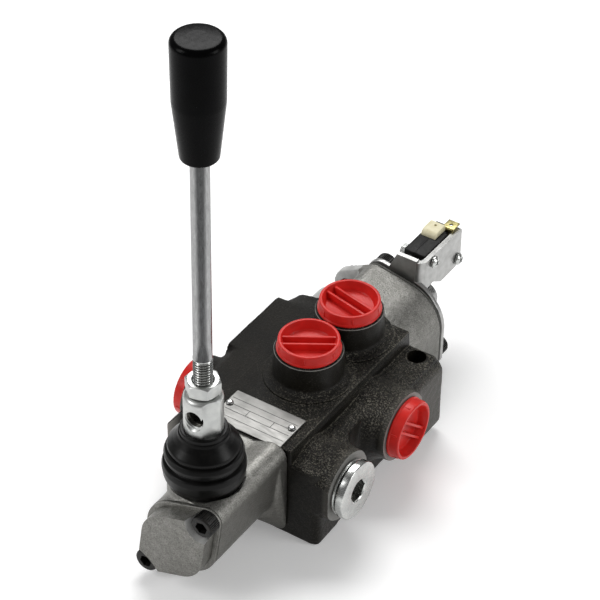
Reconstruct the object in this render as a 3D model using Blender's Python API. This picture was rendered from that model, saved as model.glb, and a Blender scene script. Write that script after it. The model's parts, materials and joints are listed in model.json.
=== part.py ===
"""Single-spool monoblock directional valve with a hand lever and an end switch.

Metres, +Z up. The spool's axis runs along Y: the lever is at the -Y end and the switch at the +Y end.
The origin is on the body's underside, below the spool's axis and midway along the body.
"""
from math import atan2, cos, pi, radians, sin, tan

import bmesh
import bpy
from mathutils import Matrix, Vector
from mathutils.geometry import convex_hull_2d

# ---- fits
GAP = 0.0003            # between faces that touch
SPARE = 0.0010          # how far a cutter runs past the face it opens
RUN = 0.0003            # radial, round whatever slides or turns
ROUND = 28              # sides of a round piece
INNER_ROUND = 20        # sides of the spool, its bore and the pieces round it
SMALL_ROUND = 12        # sides of a screw, pin or small bore

# ---- spool axis and body casting
SPOOL_Z = 0.0267
BODY_LEFT = -0.0420
BODY_RIGHT = 0.0355
BODY_HALF = 0.0465      # half its length, along the spool
CORNER_R = 0.0040
REAR_LEFT_R = 0.0060
SHELF_Z = SPOOL_Z + 0.0128
PLATFORM_Z = SPOOL_Z + 0.0200
PLATFORM_HALF = 0.0205
SLOPE_X = -0.0190       # left of here the top slopes down to the left wall
LEFT_EDGE_Z = SPOOL_Z + 0.0155
CORNER_SLOPE_X = BODY_LEFT + 0.0080     # the front left corner of the top slopes more
CORNER_SLOPE_LOW_Z = SPOOL_Z + 0.0033
CORNER_SLOPE_DEPTH = 0.0120
WAIST_IN = 0.0065       # how far the right wall steps in between the relief valve and the inlet
WAIST_FRONT = 0.0120    # the waist's front end, behind the relief valve's axis
WAIST_REAR = 0.0040     # its rear end, behind the inlet's axis
BULGE_OUT = 0.0028      # the wall swells behind the inlet
BULGE_LOW_Z = 0.0030
BULGE_TOP_Z = SHELF_Z - 0.0045
LEFT_BULGE_OUT = 0.0015
LEFT_BULGE_ENDS = (0.0020, 0.0390)

# ---- work ports A and B on top, inlet and tank ports on the sides
BOSS_TOP_Z = PLATFORM_Z + 0.0143
BOSS_R = 0.0150
BOSS_BASE_R = 0.0160
A_Y = -0.0016
B_Y = A_Y + 0.0316
INLET_X = BODY_RIGHT + 0.0035
INLET_Y = 0.0120
TANK_X = BODY_LEFT - 0.0030
TANK_Y = -0.0164
SIDE_BOSS_R = 0.0158
PORT_BORE_R = 0.0093
PORT_BORE_DEPTH = 0.0138
GALLERY_R = 0.0062
GROOVE_R = 0.0108       # annular galleries round the spool
GROOVE_WIDTH = 0.0070

# ---- mounting holes, straight down through the body
MOUNT_HOLE_R = 0.0043
MOUNT_HOLES = [(BODY_RIGHT - 0.0078, BODY_HALF - 0.0055), (BODY_LEFT + 0.0070, -BODY_HALF + 0.0075)]

# ---- transport caps in the ports
CAP_HEIGHT = 0.0055
CAP_R = 0.0131
CAP_BASE_R = 0.0138
CAP_WALL = 0.0018
CAP_FLOOR = 0.0025
CAP_INSERT_DEPTH = 0.0080
CAP_INSERT_WALL = 0.0016
CAP_RIB_WIDTH = 0.0016
CAP_RIB_SPACING = 0.0062

# ---- relief valve, entering from the right
RELIEF_Y = -BODY_HALF + 0.0145
RELIEF_THREAD_R = 0.0090
RELIEF_THREAD_END_X = INLET_X - 0.0100
RELIEF_CHAMBER_R = 0.0052
RELIEF_SEAT_X = INLET_X - 0.0230
RELIEF_SEAT_R = 0.0030
RELIEF_HEAD_R = 0.0130
RELIEF_HEAD_X = INLET_X + 0.0058
RELIEF_HEAD_THICK = 0.0032
RELIEF_POCKET_R = 0.0046
RELIEF_POCKET_END_X = INLET_X - 0.0020
RELIEF_SOCKET_ACROSS = 0.0080
RELIEF_SOCKET_DEPTH = 0.0045
RELIEF_SEAL_THICK = 0.0011
RELIEF_POPPET_R = 0.0048

# ---- load check behind the inlet port
CHECK_SEAT_OUT_X = INLET_X - PORT_BORE_DEPTH
CHECK_SEAT_IN_X = CHECK_SEAT_OUT_X - 0.0034
CHECK_SEAT_R = 0.0070
CHECK_HOLE_R = 0.0035
CHECK_CHAMBER_R = 0.0062
CHECK_CHAMBER_END_X = CHECK_SEAT_IN_X - 0.0118
CHECK_POPPET_R = 0.0058

# ---- screws through the end castings
SCREW_R = 0.0030
SCREW_HEAD_R = 0.0050
SCREW_HEAD_LENGTH = 0.0052
SCREW_KEY_ACROSS = 0.0050
SCREW_KEY_DEPTH = 0.0030
SCREW_DEPTH = 0.0090    # into the body
SCREW_X = 0.0133
SCREW_UP = 0.0161       # above and below the spool's axis

# ---- lever housing at the front, from the body forwards
HOUSING_REAR_Y = -BODY_HALF - GAP
HOUSING_LENGTH = 0.0462
HOUSING_FRONT_Y = HOUSING_REAR_Y - HOUSING_LENGTH
HOUSING_R = 0.0170
HOUSING_LUG_R = 0.0060
HOUSING_FLANGE_THICK = 0.0052
HOUSING_FLANGE_HALF = 0.0193
HOUSING_FLANGE_LOW_Z = SPOOL_Z - 0.0252
HOUSING_FLANGE_TOP_Z = PLATFORM_Z - 0.0007
HOUSING_FLANGE_CORNER = 0.0060
CAVITY_R = 0.0086
COVER_LIP = 0.0011
COVER_THICK = 0.0079
COVER_INSET = 0.0020
COVER_SCALLOP_R = 0.0066
COVER_WALL = 0.0030

# ---- lever
SEAT_R = 0.0152
LEVER_Y = HOUSING_FRONT_Y + SEAT_R + 0.00015
PIVOT_Z = SPOOL_Z + 0.0213
PIN_R = 0.0025
EAR_INNER = 0.0060
EAR_OUTER = 0.0095
EAR_R = 0.0042
SEAT_Z = SPOOL_Z + 0.0199
SEAT_CLEAR_R = SEAT_R + 0.0016   # the lug beside the seat is cut away to here
SEAT_INNER_R = 0.0110
SLOT_HALF_WIDTH = 0.0057
SLOT_HALF_LENGTH = 0.0105
BALL_R = 0.0042
STEM_R = 0.0030
NECK_R = 0.0045
HOLDER_R = 0.0081
HOLDER_LOW_Z = SEAT_Z + 0.0259
HOLDER_TOP_Z = HOLDER_LOW_Z + 0.0195
HOLDER_FLAT = 0.0069    # from the lever's axis
HOLDER_FLAT_TURN = -33.0
HOLDER_HOLE_Z = HOLDER_TOP_Z - 0.0095
HOLDER_HOLE_R = 0.0034
HOLDER_HOLE_DEPTH = 0.0060
THREAD_R = 0.0040
THREAD_LOW_Z = HOLDER_TOP_Z - 0.0050
NUT_LOW_Z = HOLDER_TOP_Z + GAP
NUT_TOP_Z = NUT_LOW_Z + 0.0065
NUT_ACROSS = 0.0130
THREAD_TOP_Z = NUT_TOP_Z + 0.0112
ROD_R = 0.0037
KNOB_LOW_Z = HOLDER_TOP_Z + 0.1110
KNOB_TOP_Z = KNOB_LOW_Z + 0.0545
KNOB_LOW_R = 0.0073
KNOB_MID_R = 0.01016
KNOB_TOP_R = 0.01045
KNOB_BORE_DEPTH = 0.0130

# ---- boot: outer profile as (height above the seat, radius), bottom to top, up to the holder's underside
BOOT_WALL = 0.0015
BOOT_COLLAR_R = 0.0098
BOOT_COLLAR_UP = 0.0020
BOOT_PROFILE = [
    (GAP, SEAT_R), (0.0064, 0.0172), (0.0104, 0.0168), (0.0119, 0.0156), (0.0154, 0.0168),
    (0.0184, 0.0154), (0.0204, 0.0162), (0.0234, 0.0145), (0.0249, 0.0122),
]

# ---- spool
SPOOL_R = 0.0080
SPOOL_NECK_R = 0.0055
SPOOL_FRONT_Y = LEVER_Y - 0.01035
SPOOL_REAR_Y = BODY_HALF + 0.0062
SEAL_R = 0.0108
SEAL_LENGTH = 0.0036

# ---- centring unit at the rear, from the body backwards
DRUM_FRONT_Y = BODY_HALF + GAP
DRUM_REAR_Y = DRUM_FRONT_Y + 0.0274
DRUM_WALL = 0.0026
DRUM_R = 0.0200
DRUM_LUG_R = 0.0066
DRUM_CAVITY_R = 0.0135
GASKET_THICK = 0.0011
GASKET_INSET = 0.0008
EAR_LOBE_X = -0.0265
EAR_LOBE_Z = SPOOL_Z + 0.0083
EAR_FLANGE_THICK = 0.0102
EAR_RIM_THICK = 0.0040
STUD_R = 0.0030
STUD_DEPTH = 0.0110     # into the spool
SEAT_THICK = 0.0025
INNER_SEAT_R = 0.0120
OUTER_SEAT_R = 0.0130
CENTRING_COIL_R = 0.0100
CENTRING_WIRE_R = 0.0010
CENTRING_TURNS = 3.5

# ---- switch bracket, bent from sheet
SHEET = 0.0022
BRACKET_FRONT_Y = DRUM_REAR_Y + GASKET_THICK + 2 * GAP
BRACKET_BACK_Y = BRACKET_FRONT_Y + SHEET
SLEEVE_R = 0.0070
SLEEVE_END_Y = BRACKET_BACK_Y + 0.0156
SLEEVE_HOLE_R = SLEEVE_R + 0.0005
SIDE_OUTER_X = 0.0073
BEND_R = 0.0024

# ---- end switch
SWITCH_LEFT_X = SIDE_OUTER_X - 0.0123
SWITCH_FRONT_Y = BRACKET_BACK_Y + 0.0062
SWITCH_REAR_Y = SWITCH_FRONT_Y + 0.0278
SWITCH_LOW_Z = SPOOL_Z + 0.0111
SWITCH_TOP_Z = SWITCH_LOW_Z + 0.0159
SWITCH_SCREWS = [(SWITCH_FRONT_Y + 0.0032, SWITCH_TOP_Z - 0.0018),
                 (SWITCH_REAR_Y - 0.0031, SWITCH_LOW_Z + 0.0017)]
SWITCH_SCREW_R = 0.0015
SWITCH_SCREW_HEAD_R = 0.0028
SWITCH_SCREW_HEAD_LENGTH = 0.0018
SWITCH_NUT_ACROSS = 0.0055
SWITCH_NUT_THICK = 0.0022
PLUNGER_Y = SWITCH_FRONT_Y + 0.0112
PLUNGER_R = 0.0016
PLUNGER_OUT = 0.0037    # below the switch
PLUNGER_IN = 0.0022
PLUNGER_TRAVEL = 0.0020
HOOD_SETBACK = 0.0112
HOOD_LENGTH = 0.0090
HOOD_HEIGHT = 0.0034
HOOD_CORNER = 0.0030
TERMINAL_THICK = 0.0008
TERMINAL_LENGTH = 0.0062
TERMINAL_WIDTH = 0.0056
TERMINAL_HEIGHT = 0.0026
TERMINAL_HOLE_R = 0.0008

# ---- bracket's edges, from the switch that it holds
TONGUE_TOP_Z = SWITCH_TOP_Z + 0.0026
TONGUE_LOW_Z = SPOOL_Z + 0.0133
TONGUE_LEFT_TOP_X = -0.0057
TONGUE_LEFT_LOW_X = -0.0118
SIDE_END_Y = SWITCH_REAR_Y - 0.0001
SIDE_TOP_Z = SWITCH_TOP_Z + 0.0018
SIDE_LOW_Z = SWITCH_LOW_Z - 0.0022

# ---- rating plate
PLATE_LEFT = -0.0183
PLATE_RIGHT = 0.0158
PLATE_FRONT = -BODY_HALF - 0.0009
PLATE_REAR = PLATE_FRONT + 0.0200
PLATE_THICK = 0.0005
RIVETS = [(PLATE_LEFT + 0.0018, PLATE_FRONT + 0.0116), (PLATE_RIGHT - 0.0022, PLATE_FRONT + 0.0126)]
RIVET_HEAD_R = 0.0016
RIVET_SHANK_R = 0.0009
RIVET_LENGTH = 0.0040

X_AXIS = Vector((1, 0, 0))
Y_AXIS = Vector((0, 1, 0))
Z_AXIS = Vector((0, 0, 1))


def material(name, colour, roughness, metallic):
    """A Principled material, made once for each name."""
    found = bpy.data.materials.get(name)
    if found:
        return found
    made = bpy.data.materials.new(name)
    made.use_nodes = True
    shader = made.node_tree.nodes["Principled BSDF"]
    shader.inputs["Base Color"].default_value = (*colour, 1.0)
    shader.inputs["Roughness"].default_value = roughness
    shader.inputs["Metallic"].default_value = metallic
    made.diffuse_color = (*colour, 1.0)
    return made


def cast_iron():
    return material("cast_iron", (0.045, 0.040, 0.035), 0.65, 0.3)


def cast_aluminium():
    return material("cast_aluminium", (0.45, 0.45, 0.43), 0.5, 0.8)


def red_plastic():
    return material("red_plastic", (0.75, 0.06, 0.04), 0.4, 0.0)


def zinc():
    return material("zinc_plate", (0.65, 0.66, 0.66), 0.3, 0.9)


def bare_steel():
    return material("bare_steel", (0.50, 0.50, 0.50), 0.3, 0.9)


def black_steel():
    return material("black_steel", (0.02, 0.02, 0.02), 0.4, 0.6)


def rubber():
    return material("rubber", (0.015, 0.015, 0.015), 0.6, 0.0)


def black_plastic():
    return material("black_plastic", (0.01, 0.01, 0.01), 0.3, 0.0)


def cream_plastic():
    return material("cream_plastic", (0.75, 0.66, 0.42), 0.5, 0.0)


def brass():
    return material("brass", (0.60, 0.50, 0.20), 0.35, 0.9)


def plate_aluminium():
    return material("plate_aluminium", (0.70, 0.70, 0.69), 0.35, 0.7)


def finish(bm, name, surface, origin=Vector((0, 0, 0))):
    """Turn a bmesh in world places into an object whose origin is at the given point."""
    bmesh.ops.recalc_face_normals(bm, faces=bm.faces)
    if bm.calc_volume(signed=True) < 0:
        bmesh.ops.reverse_faces(bm, faces=bm.faces)
    bm.transform(Matrix.Translation(-Vector(origin)))
    mesh = bpy.data.meshes.new(name)
    bm.to_mesh(mesh)
    bm.free()
    mesh.shade_smooth()
    mesh.set_sharp_from_angle(angle=radians(30))
    piece = bpy.data.objects.new(name, mesh)
    piece.location = origin
    bpy.context.scene.collection.objects.link(piece)
    if surface:
        piece.data.materials.append(surface)
    return piece


def turned(name, profile, centre, axis=Z_AXIS, surface=None, sides=ROUND, origin=None):
    """Turn (distance along the axis, radius) points round an axis; the profile closes on itself."""
    bm = bmesh.new()
    corners = [bm.verts.new((radius, 0, along)) for along, radius in profile]
    pairs = zip(corners, corners[1:] + corners[:1])
    edges = [bm.edges.new(pair) for pair in pairs if pair[0].co.x > 0 or pair[1].co.x > 0]
    bmesh.ops.spin(bm, geom=corners + edges, cent=(0, 0, 0), axis=(0, 0, 1), angle=2 * pi,
                   steps=sides, use_merge=True)
    bmesh.ops.remove_doubles(bm, verts=bm.verts, dist=1e-6)
    bmesh.ops.dissolve_degenerate(bm, edges=bm.edges, dist=1e-7)
    turn = Z_AXIS.rotation_difference(axis).to_matrix().to_4x4()
    bm.transform(Matrix.Translation(centre) @ turn)
    return finish(bm, name, surface, centre if origin is None else origin)


def prism(name, outline, along, start, end, surface=None, origin=(0, 0, 0)):
    """Push a flat outline along X (outline in Y, Z), Y (outline in X, Z) or Z (outline in X, Y)."""
    places = {
        "X": lambda u, v: (start, u, v),
        "Y": lambda u, v: (u, start, v),
        "Z": lambda u, v: (u, v, start),
    }
    push = {"X": X_AXIS, "Y": Y_AXIS, "Z": Z_AXIS}[along] * (end - start)
    bm = bmesh.new()
    face = bm.faces.new([bm.verts.new(places[along](u, v)) for u, v in outline])
    grown = bmesh.ops.extrude_face_region(bm, geom=[face])
    moved = [item for item in grown["geom"] if isinstance(item, bmesh.types.BMVert)]
    bmesh.ops.translate(bm, verts=moved, vec=push)
    return finish(bm, name, surface, Vector(origin))


def box(name, low, high, surface=None):
    outline = [(low[0], low[1]), (high[0], low[1]), (high[0], high[1]), (low[0], high[1])]
    return prism(name, outline, "Z", low[2], high[2], surface)


def rod(name, radius, start, end, surface=None, sides=ROUND):
    """A plain round bar between two points."""
    axis = Vector(end) - Vector(start)
    profile = [(0, 0), (0, radius), (axis.length, radius), (axis.length, 0)]
    return turned(name, profile, Vector(start), axis.normalized(), surface, sides)


def hull_outline(circles, steps=ROUND):
    """The tight band round a set of (u, v, radius) circles."""
    points = []
    for u, v, radius in circles:
        for step in range(steps):
            angle = 2 * pi * step / steps
            points.append((u + radius * cos(angle), v + radius * sin(angle)))
    return [points[index] for index in convex_hull_2d(points)]


def rounded(corners, steps=4):
    """A closed outline through (u, v, corner radius) points, each corner an arc."""
    outline = []
    for index, (u, v, radius) in enumerate(corners):
        here = Vector((u, v))
        before = (Vector(corners[index - 1][:2]) - here).normalized()
        after = (Vector(corners[(index + 1) % len(corners)][:2]) - here).normalized()
        if radius == 0:
            outline.append((u, v))
            continue
        half = before.angle(after) / 2
        centre = here + (before + after).normalized() * radius / sin(half)
        first = here + before * radius / tan(half) - centre
        last = here + after * radius / tan(half) - centre
        start_angle = atan2(first.y, first.x)
        sweep = (atan2(last.y, last.x) - start_angle + pi) % (2 * pi) - pi
        for step in range(steps + 1):
            angle = start_angle + sweep * step / steps
            outline.append((centre.x + radius * cos(angle), centre.y + radius * sin(angle)))
    return outline


def hexagon(u, v, across, turn=0.0):
    radius = across / 2 / cos(pi / 6)
    angles = [turn + pi / 3 * step for step in range(6)]
    return [(u + radius * cos(angle), v + radius * sin(angle)) for angle in angles]


def boolean(target, tools, operation):
    """Cut, join or intersect a piece with several tools in one Boolean."""
    group = bpy.data.collections.new(f"{target.name}_{operation}_{len(target.modifiers)}")
    for tool in tools:
        group.objects.link(tool)
        tool.hide_render = True
        tool.display_type = "WIRE"
    modifier = target.modifiers.new(group.name, "BOOLEAN")
    modifier.operation = operation
    modifier.solver = "EXACT"
    modifier.operand_type = "COLLECTION"
    modifier.collection = group
    return target


def cut(target, *tools):
    return boolean(target, tools, "DIFFERENCE")


def add(target, *tools):
    return boolean(target, tools, "UNION")


def coil(name, centre, axis, radius, wire, length, turns, surface, points_per_turn=12, wire_sides=5):
    """A compression spring with closed wire ends, from the centre point along the axis."""
    bm = bmesh.new()
    turn = Z_AXIS.rotation_difference(axis).to_matrix()
    steps = round(turns * points_per_turn)
    rings = []
    for step in range(steps + 1):
        share = step / steps
        angle = 2 * pi * turns * share
        out = Vector((cos(angle), sin(angle), 0))
        middle = out * radius + Z_AXIS * (wire + (length - 2 * wire) * share)
        ring = []
        for side in range(wire_sides):
            lean = 2 * pi * side / wire_sides
            point = middle + (out * cos(lean) + Z_AXIS * sin(lean)) * wire
            ring.append(bm.verts.new(turn @ point + Vector(centre)))
        rings.append(ring)
    for low, high in zip(rings, rings[1:]):
        for side in range(wire_sides):
            after = (side + 1) % wire_sides
            bm.faces.new((low[side], low[after], high[after], high[side]))
    bm.faces.new(rings[0])
    bm.faces.new(rings[-1])
    return finish(bm, name, surface, Vector(centre))


# ---- body


def port_bore(name, face, inward, depth=PORT_BORE_DEPTH, gallery_r=GALLERY_R, reach=None):
    """A threaded port's bore from its face, narrowing to the gallery that meets the spool's bore."""
    reach = reach or (Vector(face) - Vector((0, face[1], SPOOL_Z))).length
    taper = PORT_BORE_R - gallery_r
    profile = [(-GAP * 3, 0), (-GAP * 3, PORT_BORE_R), (depth, PORT_BORE_R), (depth + taper, gallery_r),
               (reach, gallery_r), (reach, 0)]
    return turned(name, profile, Vector(face), inward, sides=INNER_ROUND)


def screw_places(front):
    """(x, z) of the two long screws; the pattern is mirrored at the rear."""
    side = SCREW_X if front else -SCREW_X
    return [(side, SPOOL_Z + SCREW_UP), (-side, SPOOL_Z - SCREW_UP)]


def make_body():
    section = rounded([
        (BODY_LEFT, 0, 0.001), (BODY_RIGHT, 0, 0.001), (BODY_RIGHT, SHELF_Z, 0.003),
        (PLATFORM_HALF, SHELF_Z, 0.0015), (PLATFORM_HALF, PLATFORM_Z, 0.001),
        (SLOPE_X, PLATFORM_Z, 0.004), (BODY_LEFT, LEFT_EDGE_Z, 0.004),
    ])
    body = prism("valve_body", section, "Y", -BODY_HALF, BODY_HALF, cast_iron())
    waist_x = BODY_RIGHT - WAIST_IN
    plan = rounded([
        (BODY_LEFT - SPARE, -BODY_HALF, CORNER_R), (BODY_RIGHT, -BODY_HALF, CORNER_R),
        (BODY_RIGHT, RELIEF_Y + WAIST_FRONT, CORNER_R),
        (waist_x, RELIEF_Y + WAIST_FRONT + WAIST_IN, CORNER_R),
        (waist_x, INLET_Y + WAIST_REAR, CORNER_R), (BODY_RIGHT, INLET_Y + WAIST_REAR + WAIST_IN, CORNER_R),
        (BODY_RIGHT, BODY_HALF, CORNER_R), (BODY_LEFT - SPARE, BODY_HALF, REAR_LEFT_R),
    ])
    slope = [(CORNER_SLOPE_X, LEFT_EDGE_Z), (BODY_LEFT - SPARE, CORNER_SLOPE_LOW_Z),
             (BODY_LEFT - SPARE, BOSS_TOP_Z), (CORNER_SLOPE_X, BOSS_TOP_Z)]
    boolean(body, [prism("body_plan", plan, "Z", -SPARE, PLATFORM_Z + SPARE)], "INTERSECT")
    cut(body, prism("corner_slope", slope, "Y", -BODY_HALF - SPARE, -BODY_HALF + CORNER_SLOPE_DEPTH))
    add(body, *body_bosses())
    cut(body, *body_holes())
    return body


def body_bosses():
    bosses = []
    for label, y in (("a", A_Y), ("b", B_Y)):
        rise = BOSS_TOP_Z - SPOOL_Z
        profile = [(0, 0), (0, BOSS_BASE_R), (rise, BOSS_R), (rise, 0)]
        bosses.append(turned("boss_" + label, profile, Vector((0, y, SPOOL_Z))))
    sides = (("inlet", INLET_X, INLET_Y), ("tank", TANK_X, TANK_Y), ("relief", INLET_X, RELIEF_Y))
    flat_end = -BODY_HALF + GAP
    for label, x, y in sides:
        circle = hull_outline([(y, SPOOL_Z, SIDE_BOSS_R)])
        outline = [(max(u, flat_end), v) for u, v in circle]
        bosses.append(prism("boss_" + label, outline, "X", 0, x))
    bulge_x = BODY_RIGHT + BULGE_OUT
    bulge = rounded([(0, BULGE_LOW_Z, 0), (bulge_x, BULGE_LOW_Z, 0.002), (bulge_x, BULGE_TOP_Z, 0.004),
                     (BODY_RIGHT, SHELF_Z - GAP, 0.001), (0, SHELF_Z - GAP, 0)])
    bosses.append(prism("bulge_right", bulge, "Y", INLET_Y + SIDE_BOSS_R, BODY_HALF - GAP))
    bulge_x = BODY_LEFT - LEFT_BULGE_OUT
    bulge = rounded([(0, BULGE_LOW_Z, 0), (bulge_x, BULGE_LOW_Z, 0.002),
                     (bulge_x, LEFT_EDGE_Z - 0.002, 0.003), (0, PLATFORM_Z - 0.002, 0)])
    bosses.append(prism("bulge_left", bulge, "Y", *LEFT_BULGE_ENDS))
    return bosses


def body_holes():
    holes = [
        port_bore("bore_a", (0, A_Y, BOSS_TOP_Z), -Z_AXIS),
        port_bore("bore_b", (0, B_Y, BOSS_TOP_Z), -Z_AXIS),
        port_bore("bore_tank", (TANK_X, TANK_Y, SPOOL_Z), X_AXIS),
        inlet_bore(),
        relief_bore(),
        spool_bore(),
    ]
    for index, (x, y) in enumerate(MOUNT_HOLES):
        holes.append(rod(f"mount_hole_{index}", MOUNT_HOLE_R, (x, y, -SPARE), (x, y, PLATFORM_Z + SPARE),
                         sides=SMALL_ROUND))
    for front in (True, False):
        face = -BODY_HALF if front else BODY_HALF
        bottom = face + (1 if front else -1) * (SCREW_DEPTH + GAP)
        for x, z in screw_places(front):
            holes.append(rod(f"tapped_hole_{front}_{z:.3f}", SCREW_R + GAP, (x, face * 1.02, z),
                             (x, bottom, z), sides=SMALL_ROUND))
    for index, (x, y) in enumerate(RIVETS):
        holes.append(rod(f"rivet_hole_{index}", RIVET_SHANK_R + GAP, (x, y, PLATFORM_Z + SPARE),
                         (x, y, PLATFORM_Z - RIVET_LENGTH), sides=SMALL_ROUND))
    return holes


def inlet_bore():
    """The inlet's bore with the load check's seat and chamber behind it."""
    seat_r = CHECK_SEAT_R + GAP
    inner = INLET_X - CHECK_SEAT_IN_X + GAP
    chamber_end = INLET_X - CHECK_CHAMBER_END_X
    profile = [
        (-GAP * 3, 0), (-GAP * 3, PORT_BORE_R), (PORT_BORE_DEPTH - GAP, PORT_BORE_R),
        (PORT_BORE_DEPTH - GAP, seat_r), (inner, seat_r), (inner, CHECK_CHAMBER_R),
        (chamber_end, CHECK_CHAMBER_R), (chamber_end, CHECK_HOLE_R), (INLET_X, CHECK_HOLE_R), (INLET_X, 0),
    ]
    return turned("bore_inlet", profile, Vector((INLET_X, INLET_Y, SPOOL_Z)), -X_AXIS, sides=INNER_ROUND)


def relief_bore():
    """The relief valve's thread, spring chamber and seat."""
    thread_r = RELIEF_THREAD_R + GAP
    thread_end = INLET_X - RELIEF_THREAD_END_X + GAP
    seat = INLET_X - RELIEF_SEAT_X
    profile = [
        (-GAP * 3, 0), (-GAP * 3, thread_r), (thread_end, thread_r), (thread_end, RELIEF_CHAMBER_R),
        (seat, RELIEF_CHAMBER_R), (seat, RELIEF_SEAT_R), (INLET_X, RELIEF_SEAT_R), (INLET_X, 0),
    ]
    return turned("bore_relief", profile, Vector((INLET_X, RELIEF_Y, SPOOL_Z)), -X_AXIS, sides=INNER_ROUND)


def spool_bore():
    """The bore right through, with an annular gallery at each port and a seal recess at each end."""
    bore_r = SPOOL_R + RUN
    recess = SEAL_LENGTH + 2 * GAP
    seal_r = SEAL_R + GAP
    end = BODY_HALF + GAP * 3
    profile = [(-end, 0), (-end, seal_r), (-BODY_HALF + recess, seal_r), (-BODY_HALF + recess, bore_r)]
    for y in (RELIEF_Y, TANK_Y, A_Y, INLET_Y, B_Y):
        half = GROOVE_WIDTH / 2
        profile += [(y - half, bore_r), (y - half, GROOVE_R), (y + half, GROOVE_R), (y + half, bore_r)]
    profile += [(BODY_HALF - recess, bore_r), (BODY_HALF - recess, seal_r), (end, seal_r), (end, 0)]
    return turned("bore_spool", profile, Vector((0, 0, SPOOL_Z)), Y_AXIS, sides=INNER_ROUND)


def make_plate():
    """The blank rating plate and the two drive rivets that hold it."""
    low = PLATFORM_Z + GAP
    outline = [(PLATE_LEFT, PLATE_FRONT), (PLATE_RIGHT, PLATE_FRONT), (PLATE_RIGHT, PLATE_REAR),
               (PLATE_LEFT, PLATE_REAR)]
    plate = prism("rating_plate", outline, "Z", low, low + PLATE_THICK, plate_aluminium())
    top = low + PLATE_THICK + GAP
    bottom = PLATFORM_Z - RIVET_LENGTH + GAP
    cut(plate, *[
        rod(f"plate_hole_{x:.3f}", RIVET_SHANK_R + GAP, (x, y, low - GAP), (x, y, top), sides=SMALL_ROUND)
        for x, y in RIVETS
    ])
    for x, y in RIVETS:
        height = top - bottom
        dome = RIVET_HEAD_R / 2
        profile = [(0, 0), (0, RIVET_SHANK_R), (height, RIVET_SHANK_R), (height, RIVET_HEAD_R),
                   (height + dome * 0.6, RIVET_HEAD_R * 0.75), (height + dome, 0)]
        turned(f"plate_rivet_{'left' if x < 0 else 'right'}", profile, Vector((x, y, bottom)), Z_AXIS,
               bare_steel(), SMALL_ROUND)


# ---- caps


def make_cap(name, face, outward, rib_turn):
    """A transport cap: a recessed disc with a rim and two ribs, and a hollow plug that enters the bore."""
    insert_r = PORT_BORE_R - GAP
    inner_r = insert_r - CAP_INSERT_WALL
    low = GAP
    profile = [
        (-CAP_INSERT_DEPTH, inner_r), (-CAP_INSERT_DEPTH, insert_r), (low, insert_r), (low, CAP_BASE_R),
        (CAP_HEIGHT, CAP_R), (CAP_HEIGHT, CAP_R - CAP_WALL), (CAP_FLOOR, CAP_R - CAP_WALL),
        (CAP_FLOOR, 0), (CAP_FLOOR - CAP_INSERT_WALL, 0), (CAP_FLOOR - CAP_INSERT_WALL, inner_r),
    ]
    cap = turned(name, profile, Vector(face), outward, red_plastic())
    ribs = []
    for side in (-1, 1):
        middle = side * CAP_RIB_SPACING / 2
        reach = (CAP_R - CAP_WALL / 2) * cos(middle / CAP_R)
        rib = prism(f"{name}_rib_{side}", [
            (-reach, middle - CAP_RIB_WIDTH / 2), (reach, middle - CAP_RIB_WIDTH / 2),
            (reach, middle + CAP_RIB_WIDTH / 2), (-reach, middle + CAP_RIB_WIDTH / 2),
        ], "Z", CAP_FLOOR - CAP_INSERT_WALL / 2, CAP_HEIGHT - 0.0008)
        turn = Z_AXIS.rotation_difference(outward).to_matrix().to_4x4() @ Matrix.Rotation(rib_turn, 4, "Z")
        rib.data.transform(Matrix.Translation(face) @ turn)
        ribs.append(rib)
    return add(cap, *ribs)


def make_caps():
    make_cap("port_cap_a", (0, A_Y, BOSS_TOP_Z), Z_AXIS, radians(33))
    make_cap("port_cap_b", (0, B_Y, BOSS_TOP_Z), Z_AXIS, radians(-12))
    make_cap("port_cap_inlet", (INLET_X, INLET_Y, SPOOL_Z), X_AXIS, radians(90))
    make_cap("port_cap_tank", (TANK_X, TANK_Y, SPOOL_Z), -X_AXIS, radians(60))


# ---- relief valve and load check


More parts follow.
